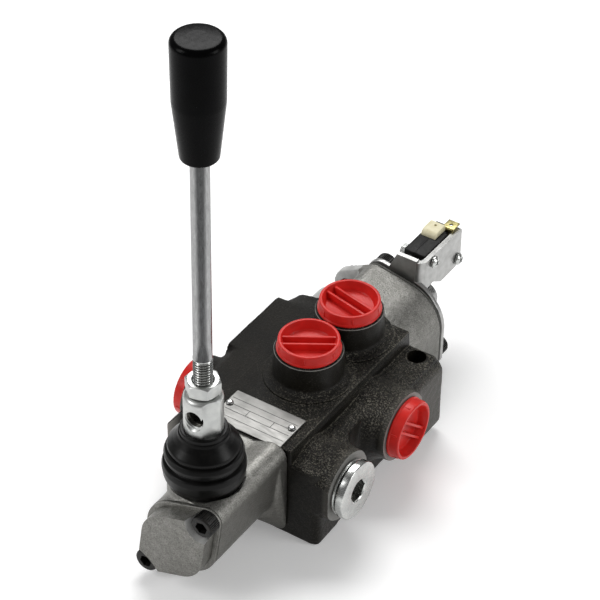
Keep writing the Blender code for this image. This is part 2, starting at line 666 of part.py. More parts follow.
def make_relief():
    face = Vector((0, RELIEF_Y, SPOOL_Z))
    seal_low = INLET_X + GAP
    seal_high = seal_low + RELIEF_SEAL_THICK
    head_low = RELIEF_HEAD_X - RELIEF_HEAD_THICK
    neck_r = RELIEF_HEAD_R * 0.88
    seal_inner = RELIEF_THREAD_R + GAP
    turned("relief_seal", [(seal_low, seal_inner), (seal_low, neck_r + 0.0010), (seal_high, neck_r + 0.0010),
                           (seal_high, seal_inner)], face, X_AXIS, zinc())
    bevel = 0.0006
    plug = turned("relief_plug", [
        (RELIEF_THREAD_END_X, RELIEF_POCKET_R), (RELIEF_THREAD_END_X, RELIEF_THREAD_R),
        (seal_high + GAP, RELIEF_THREAD_R), (seal_high + GAP, neck_r), (head_low, neck_r),
        (head_low, RELIEF_HEAD_R), (RELIEF_HEAD_X - bevel, RELIEF_HEAD_R),
        (RELIEF_HEAD_X, RELIEF_HEAD_R - bevel), (RELIEF_HEAD_X, 0), (RELIEF_POCKET_END_X, 0),
        (RELIEF_POCKET_END_X, RELIEF_POCKET_R),
    ], face, X_AXIS, zinc())
    cut(plug, prism("relief_socket", hexagon(RELIEF_Y, SPOOL_Z, RELIEF_SOCKET_ACROSS), "X",
                    RELIEF_HEAD_X - RELIEF_SOCKET_DEPTH, RELIEF_HEAD_X + GAP))
    seat_slope = RELIEF_SEAT_R - 1.4 * GAP
    nose = 0.0010
    shoulder = RELIEF_SEAT_X - nose + RELIEF_POPPET_R - (seat_slope - nose)
    back = shoulder + 0.0016
    turned("relief_poppet", [
        (RELIEF_SEAT_X - nose, 0), (RELIEF_SEAT_X - nose, seat_slope - nose), (shoulder, RELIEF_POPPET_R),
        (back, RELIEF_POPPET_R), (back, 0.0018), (back + 0.0042, 0.0018), (back + 0.0042, 0),
    ], face, X_AXIS, bare_steel(), SMALL_ROUND)
    start = back + GAP
    coil("relief_spring", (start, RELIEF_Y, SPOOL_Z), X_AXIS, 0.0033, 0.0007,
         RELIEF_POCKET_END_X - GAP - start, 6, bare_steel(), 10)


def make_check():
    face = Vector((0, INLET_Y, SPOOL_Z))
    turned("check_seat", [
        (CHECK_SEAT_IN_X, CHECK_HOLE_R), (CHECK_SEAT_IN_X, CHECK_SEAT_R),
        (CHECK_SEAT_OUT_X, CHECK_SEAT_R), (CHECK_SEAT_OUT_X, CHECK_HOLE_R),
    ], face, X_AXIS, bare_steel(), INNER_ROUND)
    head = CHECK_SEAT_IN_X - GAP
    back = head - 0.0020
    turned("check_poppet", [
        (head + 0.0020, 0), (head + 0.0020, CHECK_HOLE_R - 2 * GAP), (head, CHECK_HOLE_R - GAP),
        (head, CHECK_POPPET_R), (back, CHECK_POPPET_R), (back, 0.0018), (back - 0.0042, 0.0018),
        (back - 0.0042, 0),
    ], face, X_AXIS, bare_steel(), SMALL_ROUND)
    start = back - GAP
    coil("check_spring", (start, INLET_Y, SPOOL_Z), -X_AXIS, 0.0035, 0.0006,
         start - CHECK_CHAMBER_END_X - GAP, 4, bare_steel(), 10)


# ---- spool and its centring unit


def make_spool():
    necks = []
    slope = SPOOL_R - SPOOL_NECK_R
    ports = [TANK_Y, A_Y, INLET_Y, B_Y]
    for low, high in zip(ports, ports[1:]):
        start = low + GROOVE_WIDTH / 2
        end = high - GROOVE_WIDTH / 2
        necks += [(start, SPOOL_R), (start + slope / 2, SPOOL_NECK_R), (end - slope / 2, SPOOL_NECK_R),
                  (end, SPOOL_R)]
    bevel = 0.0008
    hole_r = STUD_R + GAP
    stud_end = SPOOL_REAR_Y - STUD_DEPTH
    spool = turned("spool", [
        (SPOOL_FRONT_Y, 0), (SPOOL_FRONT_Y, SPOOL_R - bevel), (SPOOL_FRONT_Y + bevel, SPOOL_R), *necks,
        (SPOOL_REAR_Y, SPOOL_R), (SPOOL_REAR_Y, hole_r), (stud_end - GAP, hole_r), (stud_end - GAP, 0),
    ], Vector((0, 0, SPOOL_Z)), Y_AXIS, bare_steel(), INNER_ROUND)
    axis_point = Vector((0, 0, SPOOL_Z))
    drop = SPOOL_R + GAP * 3
    flare_z = BALL_R * 0.6
    cut(spool, turned("ball_pocket", [
        (-BALL_R - GAP * 2, 0), (-BALL_R - GAP * 2, BALL_R + GAP), (flare_z, BALL_R + GAP),
        (drop, BALL_R + GAP * 7), (drop, 0),
    ], Vector((0, LEVER_Y, SPOOL_Z)), Z_AXIS, sides=SMALL_ROUND))
    for label, side in (("front", -1), ("rear", 1)):
        outer = side * (BODY_HALF - GAP)
        inner = side * (BODY_HALF - GAP - SEAL_LENGTH)
        turned("spool_seal_" + label, [
            (outer, SPOOL_R + RUN), (outer, SEAL_R), (inner, SEAL_R), (inner, SPOOL_R + RUN),
        ], axis_point, Y_AXIS, rubber(), INNER_ROUND)
    seat_low = SPOOL_REAR_Y + GAP
    seat_high = seat_low + SEAT_THICK
    turned("spring_seat_inner", [(seat_low, hole_r), (seat_low, INNER_SEAT_R), (seat_high, INNER_SEAT_R),
                                 (seat_high, hole_r)], axis_point, Y_AXIS, zinc(), INNER_ROUND)
    sleeve_low = seat_high + GAP
    stud_top = SLEEVE_END_Y - 0.0060
    rod("spool_stud", STUD_R, (0, stud_end, SPOOL_Z), (0, stud_top, SPOOL_Z), black_steel(),
        SMALL_ROUND)
    nose = 0.0020
    turned("switch_actuator", [
        (sleeve_low, hole_r), (sleeve_low, SLEEVE_R), (SLEEVE_END_Y - nose, SLEEVE_R),
        (SLEEVE_END_Y, SLEEVE_R - nose), (SLEEVE_END_Y, 0), (stud_top + GAP, 0), (stud_top + GAP, hole_r),
    ], axis_point, Y_AXIS, zinc(), INNER_ROUND)
    outer_high = DRUM_REAR_Y - DRUM_WALL - GAP
    outer_low = outer_high - SEAT_THICK
    turned("spring_seat_outer", [
        (outer_low, SLEEVE_HOLE_R), (outer_low, OUTER_SEAT_R), (outer_high, OUTER_SEAT_R),
        (outer_high, SLEEVE_HOLE_R),
    ], axis_point, Y_AXIS, zinc(), INNER_ROUND)
    start = seat_high + GAP
    coil("centring_spring", (0, start, SPOOL_Z), Y_AXIS, CENTRING_COIL_R, CENTRING_WIRE_R,
         outer_low - GAP - start, CENTRING_TURNS, bare_steel(), SMALL_ROUND)


def screw(name, x, z, head_face, tip, surface):
    """A socket-head cap screw along Y, with its head's outer face and its tip at the given places."""
    outward = 1 if head_face > tip else -1
    under = SCREW_HEAD_LENGTH
    length = abs(head_face - tip)
    bevel = 0.0004
    piece = turned(name, [
        (0, 0), (0, SCREW_HEAD_R - bevel), (bevel, SCREW_HEAD_R), (under, SCREW_HEAD_R), (under, SCREW_R),
        (length, SCREW_R), (length, 0),
    ], Vector((x, head_face, z)), Y_AXIS * -outward, surface, SMALL_ROUND)
    key = prism(name + "_key", hexagon(x, z, SCREW_KEY_ACROSS), "Y", head_face - outward * SCREW_KEY_DEPTH,
                head_face + outward * GAP)
    return cut(piece, key)


# ---- lever housing


def front_outline(inset=0.0):
    circles = [(x, z, HOUSING_LUG_R - inset) for x, z in screw_places(True)]
    return hull_outline([(0, SPOOL_Z, HOUSING_R - inset)] + circles)


def make_housing():
    """The lever housing: a tube with two screw lugs, a flange against the body and the lever's seat."""
    low = HOUSING_FLANGE_LOW_Z
    top = HOUSING_FLANGE_TOP_Z
    half = HOUSING_FLANGE_HALF
    corners = ((-half, low), (half, low), (half, top), (-half, top))
    flange = rounded([(x, z, HOUSING_FLANGE_CORNER) for x, z in corners])
    flange_y = HOUSING_REAR_Y - HOUSING_FLANGE_THICK
    housing = prism("lever_housing", flange, "Y", HOUSING_REAR_Y, flange_y, cast_aluminium())
    tube = prism("housing_tube", front_outline(), "Y", flange_y + HOUSING_FLANGE_THICK / 2, HOUSING_FRONT_Y)
    pedestal = rod("lever_pedestal", SEAT_R, (0, LEVER_Y, SPOOL_Z), (0, LEVER_Y, SEAT_Z + SPARE))
    seat_top = PIVOT_Z + EAR_R * 2
    seat = turned("lever_seat", [(SEAT_Z, SEAT_INNER_R), (SEAT_Z, SEAT_CLEAR_R), (seat_top, SEAT_CLEAR_R),
                                 (seat_top, SEAT_INNER_R)], Vector((0, LEVER_Y, 0)))
    ear = hull_outline([(LEVER_Y, PIVOT_Z, EAR_R), (LEVER_Y, SEAT_Z - EAR_R, EAR_R * 1.2)],
                       SMALL_ROUND)
    ears = [prism(f"lever_ear_{side}", ear, "X", side * EAR_INNER, side * EAR_OUTER)
            for side in (-1, 1)]
    add(housing, tube, pedestal, *ears)
    rear = HOUSING_REAR_Y + SPARE
    front = HOUSING_FRONT_Y - SPARE
    holes = [
        seat,
        rod("housing_bore", CAVITY_R, (0, rear, SPOOL_Z), (0, front, SPOOL_Z)),
        box("lever_slot", (-SLOT_HALF_WIDTH, LEVER_Y - SLOT_HALF_LENGTH, SPOOL_Z),
            (SLOT_HALF_WIDTH, LEVER_Y + SLOT_HALF_LENGTH, seat_top)),
        rod("pin_hole", PIN_R + GAP, (-SEAT_R, LEVER_Y, PIVOT_Z), (SEAT_R, LEVER_Y, PIVOT_Z),
            sides=SMALL_ROUND),
    ]
    for x, z in screw_places(True):
        holes.append(rod(f"housing_screw_{z:.3f}", SCREW_R + GAP, (x, rear, z), (x, front, z),
                         sides=SMALL_ROUND))
    return cut(housing, *holes)


def make_cover():
    """The front end cover: a lip with the housing's outline and a raised face scalloped for the screws."""
    back = HOUSING_FRONT_Y - GAP
    lip = back - COVER_LIP
    face = back - COVER_THICK
    cover = prism("end_cover", front_outline(), "Y", back, lip, cast_aluminium())
    add(cover, prism("cover_face", front_outline(COVER_INSET), "Y", lip + GAP, face))
    holes = [rod("cover_hollow", CAVITY_R, (0, back + SPARE, SPOOL_Z), (0, face + COVER_WALL, SPOOL_Z))]
    for x, z in screw_places(True):
        holes.append(rod(f"cover_scallop_{z:.3f}", COVER_SCALLOP_R, (x, lip, z), (x, face - SPARE, z)))
        holes.append(rod(f"cover_hole_{z:.3f}", SCREW_R + GAP, (x, back + SPARE, z), (x, face, z),
                         sides=SMALL_ROUND))
    cut(cover, *holes)
    head_face = lip - GAP - SCREW_HEAD_LENGTH
    for label, (x, z) in zip(("upper", "lower"), screw_places(True)):
        screw("front_screw_" + label, x, z, head_face, -BODY_HALF + SCREW_DEPTH, black_steel())


# ---- lever


def make_lever():
    """The holder that rocks on the pin, the lock nut, the rod and the knob."""
    pivot = Vector((0, LEVER_Y, PIVOT_Z))
    boss_r = EAR_R + 0.0004
    ball = [(SPOOL_Z - PIVOT_Z - BALL_R * cos(step * pi / 6), BALL_R * sin(step * pi / 6))
            for step in range(5)]
    low = HOLDER_LOW_Z - PIVOT_Z
    top = HOLDER_TOP_Z - PIVOT_Z
    bore_r = THREAD_R + GAP
    holder = turned("lever_holder", ball + [
        (SPOOL_Z - PIVOT_Z + BALL_R, STEM_R), (-boss_r, STEM_R), (-0.002, NECK_R), (low, NECK_R),
        (low, HOLDER_R - 0.0003), (low + 0.0003, HOLDER_R), (top - 0.0030, HOLDER_R),
        (top - 0.0012, HOLDER_R - 0.0009), (top, HOLDER_R - 0.0030), (top, bore_r),
        (THREAD_LOW_Z - GAP - PIVOT_Z, bore_r), (THREAD_LOW_Z - GAP - PIVOT_Z, 0),
    ], pivot, Z_AXIS, zinc())
    half = EAR_INNER - GAP * 2
    add(holder, rod("pivot_boss", boss_r, (-half, LEVER_Y, PIVOT_Z), (half, LEVER_Y, PIVOT_Z),
                    sides=SMALL_ROUND))
    pivot_hole = rod("pivot_hole", PIN_R + RUN, (-HOLDER_R, LEVER_Y, PIVOT_Z),
                     (HOLDER_R, LEVER_Y, PIVOT_Z), sides=SMALL_ROUND)
    flat = box("holder_flat", (HOLDER_FLAT, -HOLDER_R, HOLDER_LOW_Z - 0.001),
               (HOLDER_R * 2, HOLDER_R, HOLDER_TOP_Z + 0.001))
    turn = Matrix.Rotation(radians(HOLDER_FLAT_TURN), 4, "Z")
    flat.data.transform(Matrix.Translation((0, LEVER_Y, 0)) @ turn)
    side_hole = rod("holder_hole", HOLDER_HOLE_R, (0, LEVER_Y - HOLDER_R - 0.001, HOLDER_HOLE_Z),
                    (0, LEVER_Y - HOLDER_R + HOLDER_HOLE_DEPTH, HOLDER_HOLE_Z), sides=SMALL_ROUND)
    cut(holder, pivot_hole, flat, side_hole)
    pin_half = EAR_OUTER + 0.0002
    rod("pivot_pin", PIN_R, (-pin_half, LEVER_Y, PIVOT_Z), (pin_half, LEVER_Y, PIVOT_Z),
        bare_steel(), SMALL_ROUND)

    nut = prism("lock_nut", hexagon(0, LEVER_Y, NUT_ACROSS, radians(3)), "Z", NUT_LOW_Z, NUT_TOP_Z,
                zinc(), pivot)
    corner_r = NUT_ACROSS / 2 / cos(pi / 6)
    height = NUT_TOP_Z - NUT_LOW_Z
    chamfer = 0.0009
    boolean(nut, [turned("nut_chamfer", [
        (0, 0), (0, corner_r - chamfer), (chamfer / 2, corner_r + GAP),
        (height - chamfer / 2, corner_r + GAP), (height, corner_r - chamfer), (height, 0),
    ], Vector((0, LEVER_Y, NUT_LOW_Z)))], "INTERSECT")
    cut(nut, rod("nut_bore", bore_r, (0, LEVER_Y, NUT_LOW_Z - 0.001), (0, LEVER_Y, NUT_TOP_Z + 0.001),
                 sides=SMALL_ROUND))
    rod_end = KNOB_LOW_Z + KNOB_BORE_DEPTH - GAP
    turned("lever_rod", [
        (THREAD_LOW_Z - PIVOT_Z, 0), (THREAD_LOW_Z - PIVOT_Z, THREAD_R), (THREAD_TOP_Z - PIVOT_Z, THREAD_R),
        (THREAD_TOP_Z - PIVOT_Z + 0.0006, ROD_R), (rod_end - PIVOT_Z, ROD_R), (rod_end - PIVOT_Z, 0),
    ], pivot, Z_AXIS, zinc(), SMALL_ROUND)
    make_knob(pivot)


def make_knob(pivot):
    """A tapered grip with a rounded top edge, hollow below for the rod."""
    low = KNOB_LOW_Z - PIVOT_Z
    top = KNOB_TOP_Z - PIVOT_Z
    mid = (low + top) / 2
    edge = 0.0022
    crown = [(top - edge + edge * sin(step * pi / 8), KNOB_TOP_R - edge + edge * cos(step * pi / 8))
             for step in range(5)]
    inner_r = ROD_R + GAP
    turned("lever_knob", [
        (low, inner_r), (low, KNOB_LOW_R - 0.0012), (low + 0.0012, KNOB_LOW_R), (mid, KNOB_MID_R), *crown,
        (top, 0), (low + KNOB_BORE_DEPTH, 0), (low + KNOB_BORE_DEPTH, inner_r),
    ], pivot, Z_AXIS, black_plastic())


def make_boot():
    """The bellows round the lever: one open-ended wall from the seat to a collar round the holder."""
    inner = [(height, radius - BOOT_WALL) for height, radius in reversed(BOOT_PROFILE)]
    under = HOLDER_LOW_Z - GAP - SEAT_Z
    top = under + BOOT_COLLAR_UP
    collar_r = HOLDER_R + GAP
    neck_r = NECK_R + BOOT_WALL
    collar = [(under, BOOT_COLLAR_R), (top, BOOT_COLLAR_R), (top, collar_r), (under, collar_r),
              (under, neck_r), (under - BOOT_WALL / 2, neck_r)]
    turned("boot", BOOT_PROFILE + collar + inner[1:], Vector((0, LEVER_Y, SEAT_Z)), Z_AXIS, rubber(),
           origin=Vector((0, LEVER_Y, PIVOT_Z)))


# ---- rear casting


def drum_outline(extra=(), inset=0.0):
    circles = [(x, z, DRUM_LUG_R - inset) for x, z in screw_places(False)]
    return hull_outline([(0, SPOOL_Z, DRUM_R - inset)] + circles + list(extra))


def make_drum():
    """The spring housing: a drum with two screw lugs and an ear on its left."""
    front = DRUM_FRONT_Y
    drum = prism("spring_housing", drum_outline(), "Y", front, DRUM_REAR_Y, cast_aluminium())
    ear = [(EAR_LOBE_X, EAR_LOBE_Z, DRUM_LUG_R)]
    add(drum, prism("ear_flange", drum_outline(ear), "Y", front + GAP, front + EAR_FLANGE_THICK),
        prism("ear_rim", drum_outline(ear), "Y", DRUM_REAR_Y - EAR_RIM_THICK, DRUM_REAR_Y - GAP))
    wall = DRUM_REAR_Y - DRUM_WALL
    holes = [
        rod("drum_cavity", DRUM_CAVITY_R, (0, front - SPARE, SPOOL_Z), (0, wall, SPOOL_Z)),
        rod("drum_hole", SLEEVE_HOLE_R, (0, wall - SPARE, SPOOL_Z), (0, DRUM_REAR_Y + SPARE, SPOOL_Z)),
    ]
    for x, z in screw_places(False) + [(EAR_LOBE_X, EAR_LOBE_Z)]:
        holes.append(rod(f"drum_screw_{x:.3f}_{z:.3f}", SCREW_R + GAP, (x, front - SPARE, z),
                         (x, DRUM_REAR_Y + SPARE, z), sides=SMALL_ROUND))
    cut(drum, *holes)
    rim = DRUM_REAR_Y + GAP
    screw("ear_screw", EAR_LOBE_X, EAR_LOBE_Z, rim + SCREW_HEAD_LENGTH, front + GAP, zinc())
    return drum


def make_gasket():
    """The gasket between the drum and the bracket's base plate."""
    low = DRUM_REAR_Y + GAP
    high = low + GASKET_THICK
    gasket = prism("drum_gasket", drum_outline(inset=GASKET_INSET), "Y", low, high, rubber())
    holes = [rod("gasket_hole", DRUM_CAVITY_R, (0, low - SPARE, SPOOL_Z), (0, high + SPARE, SPOOL_Z))]
    for x, z in screw_places(False):
        holes.append(rod(f"gasket_screw_{z:.3f}", SCREW_R + GAP, (x, low - SPARE, z), (x, high + SPARE, z),
                         sides=SMALL_ROUND))
    return cut(gasket, *holes)


# ---- switch and its bracket


def make_bracket():
    """The bracket: a base plate behind the drum, a tongue that rises from it and a side bent back."""
    front = BRACKET_FRONT_Y
    back = BRACKET_BACK_Y
    bracket = prism("switch_bracket", drum_outline(), "Y", front, back, zinc())
    tongue = [
        (TONGUE_LEFT_LOW_X, TONGUE_LOW_Z), (SIDE_OUTER_X - BEND_R, TONGUE_LOW_Z),
        (SIDE_OUTER_X - BEND_R, TONGUE_TOP_Z), (TONGUE_LEFT_TOP_X, TONGUE_TOP_Z),
    ]
    bend = bend_outline(front, back)
    add(bracket, prism("bracket_tongue", tongue, "Y", front + 0.00001, back - 0.00001),
        prism("bracket_side", side_outline(back), "X", SIDE_OUTER_X - SHEET, SIDE_OUTER_X),
        prism("bracket_bend", bend, "Z", SWITCH_LOW_Z, TONGUE_TOP_Z - GAP))
    holes = [rod("bracket_hole", SLEEVE_HOLE_R, (0, front - SPARE, SPOOL_Z), (0, back + SPARE, SPOOL_Z))]
    for x, z in screw_places(False):
        holes.append(rod(f"bracket_screw_{z:.3f}", SCREW_R + GAP, (x, front - SPARE, z), (x, back + SPARE, z),
                         sides=SMALL_ROUND))
    for y, z in SWITCH_SCREWS:
        holes.append(rod(f"bracket_switch_hole_{z:.3f}", SWITCH_SCREW_R + GAP, (0, y, z),
                         (SIDE_OUTER_X + SPARE, y, z), sides=SMALL_ROUND))
    cut(bracket, *holes)
    for label, (x, z) in zip(("upper", "lower"), screw_places(False)):
        screw("rear_screw_" + label, x, z, back + GAP + SCREW_HEAD_LENGTH, BODY_HALF - SCREW_DEPTH,
              black_steel())


def side_outline(back):
    """The side plate seen from the right: (y, z) points."""
    return [
        (back - SHEET * 0.2, SIDE_LOW_Z + 0.0035), (back + 0.0100, SIDE_LOW_Z + 0.0045),
        (back + 0.0170, SIDE_LOW_Z), (SIDE_END_Y - 0.0040, SIDE_LOW_Z), (SIDE_END_Y, SIDE_LOW_Z + 0.0040),
        (SIDE_END_Y, SIDE_TOP_Z), (back - SHEET * 0.2, SIDE_TOP_Z),
    ]


def bend_outline(front, back):
    """The sheet's corner in plan, rounded outside: (x, y) points."""
    centre_x = SIDE_OUTER_X - BEND_R
    centre_y = front + BEND_R
    angles = [-pi / 2 + pi / 12 * step for step in range(7)]
    outer = [(centre_x + BEND_R * cos(angle), centre_y + BEND_R * sin(angle)) for angle in angles]
    inner_x = SIDE_OUTER_X - SHEET
    return outer + [(SIDE_OUTER_X, back + 0.0010), (inner_x, back + 0.0010), (inner_x, back),
                    (centre_x - 0.0010, back), (centre_x - 0.0010, front)]


def make_switch():
    """The snap-action switch, its plunger, terminals and the two screws and nuts that hold it."""
    right = SIDE_OUTER_X - SHEET - GAP
    body = box("switch_body", (SWITCH_LEFT_X, SWITCH_FRONT_Y, SWITCH_LOW_Z),
               (right, SWITCH_REAR_Y, SWITCH_TOP_Z), black_plastic())
    middle_x = (SWITCH_LEFT_X + right) / 2
    holes = [rod("plunger_well", PLUNGER_R + RUN, (middle_x, PLUNGER_Y, SWITCH_LOW_Z - SPARE),
                 (middle_x, PLUNGER_Y, SWITCH_LOW_Z + PLUNGER_IN + PLUNGER_TRAVEL), sides=SMALL_ROUND)]
    nut_right = SWITCH_LEFT_X - GAP
    head_left = SIDE_OUTER_X + GAP
    for label, (y, z) in zip(("front", "rear"), SWITCH_SCREWS):
        holes.append(rod("switch_hole_" + label, SWITCH_SCREW_R + GAP, (SWITCH_LEFT_X - SPARE, y, z),
                         (right + SPARE, y, z), sides=SMALL_ROUND))
        tip = nut_right - SWITCH_NUT_THICK
        turned("switch_screw_" + label, [
            (tip, 0), (tip, SWITCH_SCREW_R), (head_left, SWITCH_SCREW_R), (head_left, SWITCH_SCREW_HEAD_R),
            (head_left + SWITCH_SCREW_HEAD_LENGTH * 0.6, SWITCH_SCREW_HEAD_R * 0.9),
            (head_left + SWITCH_SCREW_HEAD_LENGTH, SWITCH_SCREW_HEAD_R * 0.5),
            (head_left + SWITCH_SCREW_HEAD_LENGTH, 0),
        ], Vector((0, y, z)), X_AXIS, zinc(), SMALL_ROUND)
        nut = prism("switch_nut_" + label, hexagon(y, z, SWITCH_NUT_ACROSS), "X",
                    nut_right - SWITCH_NUT_THICK, nut_right, zinc())
        cut(nut, rod("switch_nut_bore_" + label, SWITCH_SCREW_R + GAP, (tip - SPARE, y, z),
                     (nut_right + SPARE, y, z), sides=SMALL_ROUND))
    cut(body, *holes)
    turned("switch_plunger", [
        (-PLUNGER_OUT, 0), (-PLUNGER_OUT, PLUNGER_R * 0.6), (-PLUNGER_OUT + PLUNGER_R * 0.4, PLUNGER_R),
        (PLUNGER_IN, PLUNGER_R), (PLUNGER_IN, 0),
    ], Vector((middle_x, PLUNGER_Y, SWITCH_LOW_Z)), Z_AXIS, red_plastic(), SMALL_ROUND)
    make_terminals(middle_x)


def make_terminals(middle_x):
    """The cream insulating hood over one terminal and the bare brass tab behind it."""
    low = SWITCH_TOP_Z + GAP
    top = low + HOOD_HEIGHT
    front = SWITCH_FRONT_Y + HOOD_SETBACK
    rear = front + HOOD_LENGTH
    hood = rounded([(front, low, 0), (rear, low, 0), (rear, top, 0), (front, top, HOOD_CORNER)], 6)
    prism("terminal_hood", hood, "X", SWITCH_LEFT_X - GAP, middle_x + 0.0019, cream_plastic())
    near = SWITCH_REAR_Y + GAP - TERMINAL_LENGTH
    far = near + TERMINAL_LENGTH
    tab = [(near, low), (far, low), (far, low + TERMINAL_HEIGHT),
           (far - TERMINAL_THICK, low + TERMINAL_HEIGHT), (far - TERMINAL_THICK, low + TERMINAL_THICK),
           (near, low + TERMINAL_THICK)]
    left = middle_x - TERMINAL_THICK
    terminal = prism("terminal_tab", tab, "X", left, left + TERMINAL_WIDTH, brass())
    middle = (left + TERMINAL_WIDTH / 2, near + TERMINAL_LENGTH / 2)
    cut(terminal, rod("terminal_hole", TERMINAL_HOLE_R, (*middle, low - SPARE), (*middle, low + SPARE * 2),
                      sides=SMALL_ROUND))


def clear_scene():
    for piece in list(bpy.data.objects):
        bpy.data.objects.remove(piece)


clear_scene()
make_body()
make_plate()
make_caps()
make_relief()
make_check()
make_spool()
make_housing()
make_cover()
make_lever()
make_boot()
make_drum()
make_gasket()
make_bracket()
make_switch()
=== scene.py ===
"""Studio scene of a hydraulic monoblock valve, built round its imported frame.

Metres, +Z up. The spool's axis runs along Y: the hand lever is at the -Y end, the end switch at the +Y end.
Places come from the frame's nodes. What a node leaves out, such as a fillet or a thread, is named here.
"""
import json
from math import atan2, cos, pi, radians, sin, tan

import bmesh
import bpy
from mathutils import Matrix, Vector, noise
from mathutils.geometry import convex_hull_2d


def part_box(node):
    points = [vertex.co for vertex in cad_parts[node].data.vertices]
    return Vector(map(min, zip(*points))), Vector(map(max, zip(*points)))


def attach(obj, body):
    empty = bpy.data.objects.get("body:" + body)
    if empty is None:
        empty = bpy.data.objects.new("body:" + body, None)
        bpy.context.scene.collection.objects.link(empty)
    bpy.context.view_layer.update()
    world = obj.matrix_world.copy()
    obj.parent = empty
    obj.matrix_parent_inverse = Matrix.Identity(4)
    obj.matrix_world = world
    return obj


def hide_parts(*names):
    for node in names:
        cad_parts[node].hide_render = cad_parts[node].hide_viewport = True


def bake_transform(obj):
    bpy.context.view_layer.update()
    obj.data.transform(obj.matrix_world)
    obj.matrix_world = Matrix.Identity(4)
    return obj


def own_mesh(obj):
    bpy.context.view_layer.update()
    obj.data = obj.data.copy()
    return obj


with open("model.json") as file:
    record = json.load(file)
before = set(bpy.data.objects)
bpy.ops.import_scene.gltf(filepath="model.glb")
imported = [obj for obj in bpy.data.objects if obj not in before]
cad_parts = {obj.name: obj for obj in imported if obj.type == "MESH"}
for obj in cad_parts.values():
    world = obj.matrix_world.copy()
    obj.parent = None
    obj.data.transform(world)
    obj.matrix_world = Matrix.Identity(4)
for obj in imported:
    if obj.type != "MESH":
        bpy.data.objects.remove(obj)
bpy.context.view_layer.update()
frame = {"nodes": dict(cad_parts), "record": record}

MM = 0.001
GAP = 0.3 * MM          # the clearance that the frame keeps between its nodes
SPARE = 1.0 * MM        # how far a cutter runs past the face that it opens
OVER = 0.6 * MM         # how far a casting stands past a face that is trimmed flat
SIDES = 96              # sides of a large round piece
FEW_SIDES = 40          # sides of a screw, pin or small bore
X_AXIS = Vector((1, 0, 0))
Y_AXIS = Vector((0, 1, 0))
Z_AXIS = Vector((0, 0, 1))


# ---- places, from the frame's nodes


def low(node):
    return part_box(node)[0]


def high(node):
    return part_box(node)[1]


def middle(node):
    return (low(node) + high(node)) / 2


def radius_of(node, along):
    """A round node's radius; along is the letter of its axis."""
    size = high(node) - low(node)
    return max(size["XYZ".index(letter)] for letter in "XYZ" if letter != along) / 2


SPOOL_Z = middle("port_cap_inlet").z
BODY_LOW, BODY_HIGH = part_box("valve_body")
A_Y = middle("port_cap_a").y
B_Y = middle("port_cap_b").y
INLET_Y = middle("port_cap_inlet").y
TANK_Y = middle("port_cap_tank").y
RELIEF_Y = middle("relief_plug").y
PLATFORM_Z = low("rating_plate").z - GAP
LEVER_Y = middle("lever_rod").y
LEVER_FOOT = (0, LEVER_Y, 0)
PIVOT_Z = middle("pivot_pin").z
SCREW_X = middle("front_screw_upper").x
SCREW_UP = middle("front_screw_upper").z - SPOOL_Z
SCREW_HOLE_R = 3.3 * MM
SMALL_HOLE_R = 1.8 * MM
THREAD_BORE_R = 9.3 * MM
RIVETS = ("plate_rivet_left", "plate_rivet_right")
RIVET_HOLE_R = 1.2 * MM


# ---- materials


